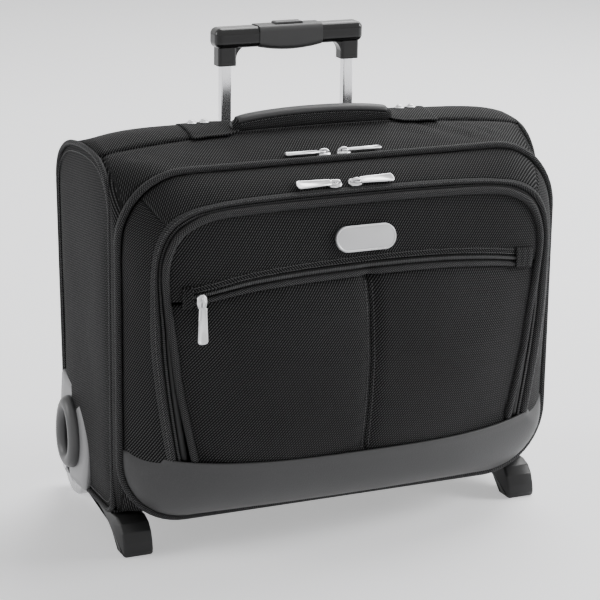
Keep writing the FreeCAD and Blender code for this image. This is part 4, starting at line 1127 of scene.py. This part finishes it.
# ---------------------------------------------------------------- handle and trimmings
def carry_handle():
    """Padded arch with a smooth strip sewn along its top, resting on the case."""
    low, high = box_mm("carry_handle")
    half, y0 = (high[0] - low[0]) / 2, (low[1] + high[1]) / 2
    base, crown = low[2] - 3.8, high[2] - 5.6
    xs = np.linspace(-half + 1.5, half - 5.0, 61)
    share = np.abs(xs) / half
    top = base + 12.5 + (crown - base - 12.5) * (1 - share ** 2.2)
    end = np.sqrt(np.clip(1 - share ** 14, 0.02, 1))
    top = base + (top - base) * (0.55 + 0.45 * end)
    under = base + 1.5 * (1 - share ** 2) + 2.0 * share ** 12
    grid = []
    for angle in np.linspace(0, 2 * math.pi, 25)[:-1]:
        across, up = (math.copysign(abs(value) ** 0.75, value) for value in (math.cos(angle), math.sin(angle)))
        grid.append(np.stack([xs, y0 + across * 6.6 * end, (top + under) / 2 + (top - under) / 2 * up], 1))
    count, width = len(grid), len(xs)
    around = np.array(grid + grid[:1])
    cloth = Cloth()
    start = cloth.grid(around, flat_uv(around, 0, 2))
    cloth.cap([start + i * width for i in range(count)])
    cloth.cap([start + i * width + width - 1 for i in range(count)], True)
    declare(cloth.piece("carry_handle_pad", CORD_NYLON), "carry_grip", ["carry_handle"])
    profile = ((-7.4, 3.6), (-7.3, 1.2), (-5.4, -0.9), (-2.0, -1.7), (2.0, -1.7), (5.4, -0.9), (7.3, 1.2),
               (7.4, 3.6))
    grid = np.array([np.stack([xs, y0 + y * end, top - drop], 1)[2:-2] for y, drop in profile])
    sheet("carry_handle_strip", grid, PU_STRIP, "carry_grip", (), 1.2, (0, 0, 1))
    lines = [(np.stack([xs, y0 + side * 7.4 * end, top - 4.8], 1)[3:-3], (0, side, 0)) for side in (LEFT, RIGHT)]
    row("carry_handle_stitches", lines, (3.2, 2.4, 0.8, 0.7), THREAD, "carry_grip")


def handle_anchors():
    """Cloth tabs under the ends of the carry handle, narrower towards the handle."""
    low, high = box_mm("handle_anchors")
    for side, nodes in ((LEFT, ["handle_anchors"]), (RIGHT, [])):
        grid = []
        for y in np.linspace(low[1], high[1], 18):
            line = []
            for x in np.linspace(76.0, high[0], 20):
                inner = max(0.0, (88 - x) / 12)
                z = float(top_height(x, y)) + 1.4 + 1.2 * inner
                line.append((side * x, 3.5 + (y - 3.5) * (1.0 - 0.35 * inner), z))
            grid.append(line)
        grid = np.array(grid)
        sheet("handle_anchor_" + word(side), grid, NYLON, "case", nodes, 1.6, (0, 0, 1),
              flat_uv(grid, 0, 1))


def rivet_heads():
    """Domed rivet heads on washers, over the plain ones."""
    cloth = Cloth()
    low, high = box_mm("rivets")
    y = (low[1] + high[1]) / 2
    angle = np.linspace(0, 2 * math.pi, 20, endpoint=False)
    for x in (-98.0, -110.0, 98.0, 110.0):
        z = float(top_height(x, y)) + 1.6
        rings = [np.stack([x + r * np.cos(angle), y + r * np.sin(angle), np.full(20, z + h)], 1)
                 for r, h in ((4.6, -0.6), (4.6, 0.5), (4.0, 0.8), (3.4, 0.8), (3.2, 1.8), (2.3, 2.5), (1.0, 2.8))]
        start = cloth.grid(np.array(rings), closed=True)
        cloth.cap([start + 6 * 20 + k for k in range(20)])
        cloth.cap([start + k for k in range(20)], True)
    declare(cloth.piece("rivet_heads", NICKEL), "case", ["rivets"])


def framed(at, x_to, z_to):
    """Matrix that stands a blank at a spot, its X and Z along two directions (mm)."""
    x = Vector(x_to).normalized()
    z = Vector(z_to).normalized()
    y = z.cross(x)
    turn = Matrix((x, y, z)).transposed().to_4x4()
    turn.translation = Vector(at)
    return turn


def stood(grid, frame_):
    flat = np.asarray(grid, float).reshape(-1, 3)
    matrix = np.array(frame_)
    return (flat @ matrix[:3, :3].T + matrix[:3, 3]).reshape(np.asarray(grid).shape)


def slab(cloth, frame_, outline, heights, insets):
    """Rounded plate: the outline drawn in by insets at successive heights, closed at both ends."""
    outline = np.asarray(outline, float)
    following = np.roll(outline, -1, 0) - np.roll(outline, 1, 0)
    inward = np.stack([-following[:, 1], following[:, 0]], 1)
    inward /= np.linalg.norm(inward, axis=1)[:, None]
    rings = [np.concatenate([outline + inward * inset, np.full((len(outline), 1), height)], 1)
             for height, inset in zip(heights, insets)]
    grid = stood(np.array(rings), frame_)
    start = cloth.grid(grid, closed=True)
    width = len(outline)
    cloth.cap([start + k for k in range(width)], True)
    cloth.cap([start + (len(rings) - 1) * width + k for k in range(width)])


def puller_outline(narrow, wide, start, end):
    """Tapered tab with rounded ends, counter-clockwise, towards -X."""
    right = [(-start, -narrow), (-start + 0.9, -narrow * 0.5), (-start + 0.9, narrow * 0.5), (-start, narrow)]
    far = [(-end + 2.4, wide), (-end + 0.7, wide * 0.8), (-end, wide * 0.35), (-end, -wide * 0.35),
           (-end + 0.7, -wide * 0.8), (-end + 2.4, -wide)]
    return right + far


def zip_pull(name, node_slider, node_puller, eye, x_to, z_to):
    """Slider body with its bridge, and the tapered puller on its eye."""
    place = framed(eye, x_to, z_to)
    base = -4.1
    cloth = Cloth()
    shoulders = [(6.2, -2.0), (6.2, 2.0), (3.8, 4.2), (-1.0, 4.6), (-5.6, 3.6), (-6.2, 2.6), (-6.2, -2.6),
                 (-5.6, -3.6), (-1.0, -4.6), (3.8, -4.2)]
    slab(cloth, place, shoulders, [base, base + 0.5, base + 2.3, base + 3.0], [0.5, 0.0, 0.0, 0.7])
    arch = [(x, 0, base + z) for x, z in ((-4.2, 2.4), (-4.0, 4.4), (-2.6, 5.6), (0, 5.9), (2.6, 5.4), (4.0, 4.2),
                                          (4.2, 2.4))]
    cloth.tube(stood(evenly(curve_through(arch, 4), 0.8), place), 1.15, sides=10)
    declare(cloth.piece(name + "_slider_body", NICKEL, weld=0.005), node_slider, [node_slider])
    cloth = Cloth()
    angle = np.linspace(0, 2 * math.pi, 20, endpoint=False)
    ring = np.stack([-2.0 + 3.3 * np.cos(angle), 2.5 * np.sin(angle), np.zeros(20)], 1)
    cloth.tube(stood(ring, place), 0.85, closed=True, sides=8)
    slab(cloth, place, puller_outline(3.5, 4.7, 5.2, 37.2), [-1.0, -0.6, 0.5, 0.95, 0.95, 0.55],
         [0.5, 0.0, 0.0, 0.45, 1.1, 1.4])
    declare(cloth.piece(name + "_pull_tab", NICKEL, weld=0.005), node_puller, [node_puller])


def zip_pulls():
    hinges = {joint["child"]: joint for joint in frame["record"]["behaviour"]["joints"]}
    for kind in ("outer", "inner"):
        for side in (LEFT, RIGHT):
            puller = kind + "_puller_" + word(side)
            hinge = hinges[puller]
            zip_pull(kind + "_" + word(side), kind + "_slider_" + word(side), puller, Vector(hinge["pos_m"]) / MM,
                     (-side, 0, 0), Vector(hinge["axis"]).cross(Vector((side, 0, 0))))
    eye = Vector(hinges["slash_puller"]["pos_m"]) / MM
    zip_pull("slash", "slash_slider", "slash_puller", eye, (0, 0, 1), (0, -1, 0))


def badge():
    """Blank oval badge with a bright raised rim."""
    low, high = box_mm("badge")
    x, z = ((low + high) / 2)[[0, 2]]
    lean = math.atan2(16.5, 66.0)
    place = framed((x, float(face_depth(np.array(0.0), z, False)) - 4.2, z), (1, 0, 0),
                   (0, -math.cos(lean), math.sin(lean)))
    straight, radius = 17.5, 11.6
    outline = [(centre + radius * math.cos(first + t), radius * math.sin(first + t))
               for centre, first in ((straight, -math.pi / 2), (-straight, math.pi / 2))
               for t in np.linspace(0, math.pi, 17)]
    moulding("badge_rim", BADGE_RIM, place, outline, [-2.0, 0.6, 1.5, 1.8, 1.5, 0.9], [0.0, 0.0, 0.4, 1.0, 1.7, 2.0],
             "flap", ["badge"])
    moulding("badge_plate", BADGE_FACE, place, outline, [0.5, 1.15, 1.25], [2.0, 2.1, 2.6], "flap")


# ---------------------------------------------------------------- feet and wheel housings
FOOT_LINE = [(-66.0, 0.3), (-48.0, 0.3), (-43.0, 5.0), (-34.0, 13.0), (-20.0, 20.0), (-5.0, 24.5), (10.0, 27.0),
             (32.6, 27.5), (32.6, 32.7), (0.0, 32.8), (-30.0, 32.8), (-46.0, 32.5), (-56.0, 29.0), (-62.5, 22.0),
             (-66.0, 13.0), (-67.4, 5.0)]


def upright(side, inner):
    """Frame with local x along the case's depth, local y up and local z outwards from x = inner."""
    return framed((side * inner, 0, 0), (0, side, 0), (side, 0, 0))


def sideways(side, outline):
    """Outline of (y, z) points turned for the frame of one side."""
    outline = np.asarray(outline, float) * (side, 1)
    return outline if side == RIGHT else outline[::-1]


def rounded_foot(side):
    outline = []
    for index, corner in enumerate(FOOT_LINE):
        radius = 1.2 if index in (0, 1, 7, 8) else 4.5
        outline += turned(FOOT_LINE[index - 1], corner, FOOT_LINE[(index + 1) % len(FOOT_LINE)], radius)[::2]
    name = "foot_" + word(side)
    moulding(name + "_moulding", FOOT_PLASTIC, upright(side, 181.0), sideways(side, outline),
             [0.0, 0.8, 2.4, 25.6, 27.2, 28.0], [2.2, 0.7, 0.0, 0.0, 0.7, 2.2], "case", [name])


EYE_Y, EYE_Z = 66.0, 78.0


def egg(y, z, half_depth, half_height):
    """Egg outline that narrows upwards, counter-clockwise in (y, z)."""
    angle = np.linspace(0, 2 * math.pi, 48, endpoint=False)
    narrowing = 1 - 0.16 * np.sin(angle)
    return np.stack([y + half_depth * np.cos(angle) * narrowing, z + half_height * np.sin(angle)], 1)


def wheel_housing(side):
    """Cover plate with its eye, the raised guard ring, the arch over the wheel and the axle cheeks."""
    name = word(side)
    place = upright(side, 210.3)
    front = curve_through([(84.0, 131.0), (62.0, 125.0), (40.0, 110.0), (25.0, 91.0), (18.6, 74.0), (20.5, 52.0),
                           (26.5, 31.0)], 8)
    room = [(WHEEL_Y + 34.4 * math.cos(a), WHEEL_Z + 34.4 * math.sin(a)) for a in np.linspace(math.pi, 1.9, 12)]
    outer = np.concatenate([front, [(50.0, 30.2), (70.5, 30.2)], room, [(96.5, 95.0), (91.0, 131.8)]])
    outer = evenly(np.concatenate([outer, outer[:1]]), 5.0)[:-1]
    aim = np.arctan2(outer[:, 1] - EYE_Z, outer[:, 0] - EYE_Y)
    eye = np.array([EYE_Y, EYE_Z]) + np.stack([10.0 * np.cos(aim), 20.0 * np.sin(aim)], 1)
    rings = []
    for inset, height in ((0.0, -1.2), (0.0, 1.6), (0.03, 2.8), (0.35, 2.9), (0.7, 2.9), (1.0, 2.6), (1.0, -1.0)):
        flat = outer * (1 - inset) + eye * inset
        rings.append(np.stack([flat[:, 0] * side, flat[:, 1], np.full(len(flat), height)], 1))
    sheet("housing_plate_" + name, stood(np.array(rings), place), GREY_PLASTIC, "case",
          ["wheel_housing_" + name], 0, (side, 0, 0), closed=True)
    line = egg(EYE_Y, EYE_Z, 17.5, 27.5)
    line = stood(np.stack([line[:, 0] * side, line[:, 1], np.full(len(line), 4.6)], 1), place)
    cord_piece("guard_ring_" + name, line, 7.2, RING_PLASTIC, "case", closed=True, sides=16)
    grid = [[(side * x, WHEEL_Y + 35.6 * math.cos(a), WHEEL_Z + 35.6 * math.sin(a))
             for a in np.linspace(math.radians(88), math.radians(178), 24)] for x in np.linspace(173.0, 212.4, 9)]
    sheet("wheel_arch_" + name, np.array(grid), BLACK_PLASTIC, "case", (), 2.6, (0, -1, 1))
    cheek = turned((70.0, 50.0), (70.0, 57.0), (WHEEL_Y, 40.0), 3.0)[::4]
    cheek += turned((70.0, 57.0), (70.0, 27.0), (WHEEL_Y, 22.0), 3.0)[::4]
    cheek += [(WHEEL_Y + 9 * math.cos(a), WHEEL_Z + 9 * math.sin(a))
              for a in np.linspace(-math.pi / 2, math.pi / 2, 13)]
    for inner, thick in ((201.3, 4.0), (172.0, 2.8)):
        moulding("axle_cheek_%s_%d" % (name, inner), GREY_PLASTIC, upright(side, inner), sideways(side, cheek),
                 [0.0, 0.5, thick - 0.5, thick], [0.5, 0.0, 0.0, 0.5], "case")


# ---------------------------------------------------------------- the moulded and metal pieces
NODE_FINISH = {
    "outer_tubes": TUBE, "middle_tubes": TUBE, "inner_tubes": TUBE, "tube_plugs": BLACK_PLASTIC,
    "tube_base_bracket": BLACK_PLASTIC, "tube_collars": BLACK_PLASTIC, "handle_back_board": BLACK_PLASTIC,
    "back_lining": LINING, "laptop_divider": LINING, "divider_strap": ZIP_TAPE, "wheel_axles": STEEL,
    "foot_screws": STEEL, "tyre_left": TYRE, "tyre_right": TYRE,
    "hub_left": PALE_PLASTIC, "hub_right": PALE_PLASTIC, "grip_body": GLOSS_PLASTIC, "grip_sleeve": RUBBER,
    "push_button": BLACK_PLASTIC, "release_linkage": BLACK_PLASTIC, "button_spring": STEEL,
}


def finish_nodes():
    for node, material in NODE_FINISH.items():
        piece = bpy.data.objects[node]
        piece.data.materials.clear()
        piece.data.materials.append(material)


# ---------------------------------------------------------------- floor, light and camera
def studio():
    """Pale floor, a bright room that the camera sees, and three soft lamps."""
    reach = 12.0
    mesh = bpy.data.meshes.new("floor")
    mesh.from_pydata([(-reach, -reach, 0), (reach, -reach, 0), (reach, reach, 0), (-reach, reach, 0)], [],
                     [(0, 1, 2, 3)])
    paint = Finish("pale_floor", Roughness=0.9, Emission_Color=(1.0, 1.0, 1.0, 1.0), Emission_Strength=0.5)
    paint.colour(paint.noise(paint.place(), 3.0), 0.93, 0.95)
    link(mesh, "floor", paint.material, False)
    world = bpy.data.worlds.new("soft_room")
    bpy.context.scene.world = world
    world.use_nodes = True
    tree = world.node_tree
    background = tree.nodes["Background"]
    background.inputs[0].default_value = (1, 1, 1, 1)
    rays = tree.nodes.new("ShaderNodeLightPath").outputs
    strength = 0.2 + 2.0 * Wire(tree, rays["Is Camera Ray"]) + 1.1 * Wire(tree, rays["Is Glossy Ray"])
    tree.links.new(strength.out, background.inputs[1])
    lamp("overhead", (1.5, 1.2, 2.6), (0, 0, 0.2), 2.4, 120)
    lamp("left_fill", (-3.0, 0.8, 1.3), (0, 0, 0.2), 1.6, 46)
    lamp("right_front", (3.0, -1.0, 1.6), (0, 0, 0.2), 1.2, 95)


def lamp(name, place, target, size, power):
    data = bpy.data.lights.new(name, "AREA")
    data.size = size
    data.energy = power
    light = bpy.data.objects.new(name, data)
    bpy.context.collection.objects.link(light)
    light.location = place
    light.rotation_euler = (Vector(target) - Vector(place)).to_track_quat("-Z", "Y").to_euler()


def camera():
    azimuth, elevation, roll = (math.radians(value) for value in (-24.29, 16.1, 0.81))
    back = Vector((math.sin(azimuth) * math.cos(elevation), -math.cos(azimuth) * math.cos(elevation),
                   math.sin(elevation)))
    right = Vector((math.cos(azimuth), math.sin(azimuth), 0))
    up = back.cross(right)
    side = math.cos(roll) * right + math.sin(roll) * up
    rise = -math.sin(roll) * right + math.cos(roll) * up
    data = bpy.data.cameras.new("camera")
    data.lens = 133.4
    data.sensor_width = 36.0
    view = bpy.data.objects.new("camera", data)
    bpy.context.collection.objects.link(view)
    matrix = Matrix((side, rise, back)).transposed().to_4x4()
    matrix.translation = Vector((-0.8251, -1.8045, 0.7728))
    view.matrix_world = matrix
    bpy.context.scene.camera = view


camera()
studio()
for side in (LEFT, RIGHT):
    side_panel(side)
    side_piping(side)
top_panel()
rear_panel()
bottom_panel()
front_gusset()
main_zip()
lid_cords()
lid_border()
lid_back()
pocket_zip()
flap_cord()
flap_faces()
seam_stitching()
slash_pocket()
smooth_band()
hinge_strip()
carry_handle()
handle_anchors()
rivet_heads()
zip_pulls()
badge()
for side in (LEFT, RIGHT):
    rounded_foot(side)
    wheel_housing(side)
finish_nodes()
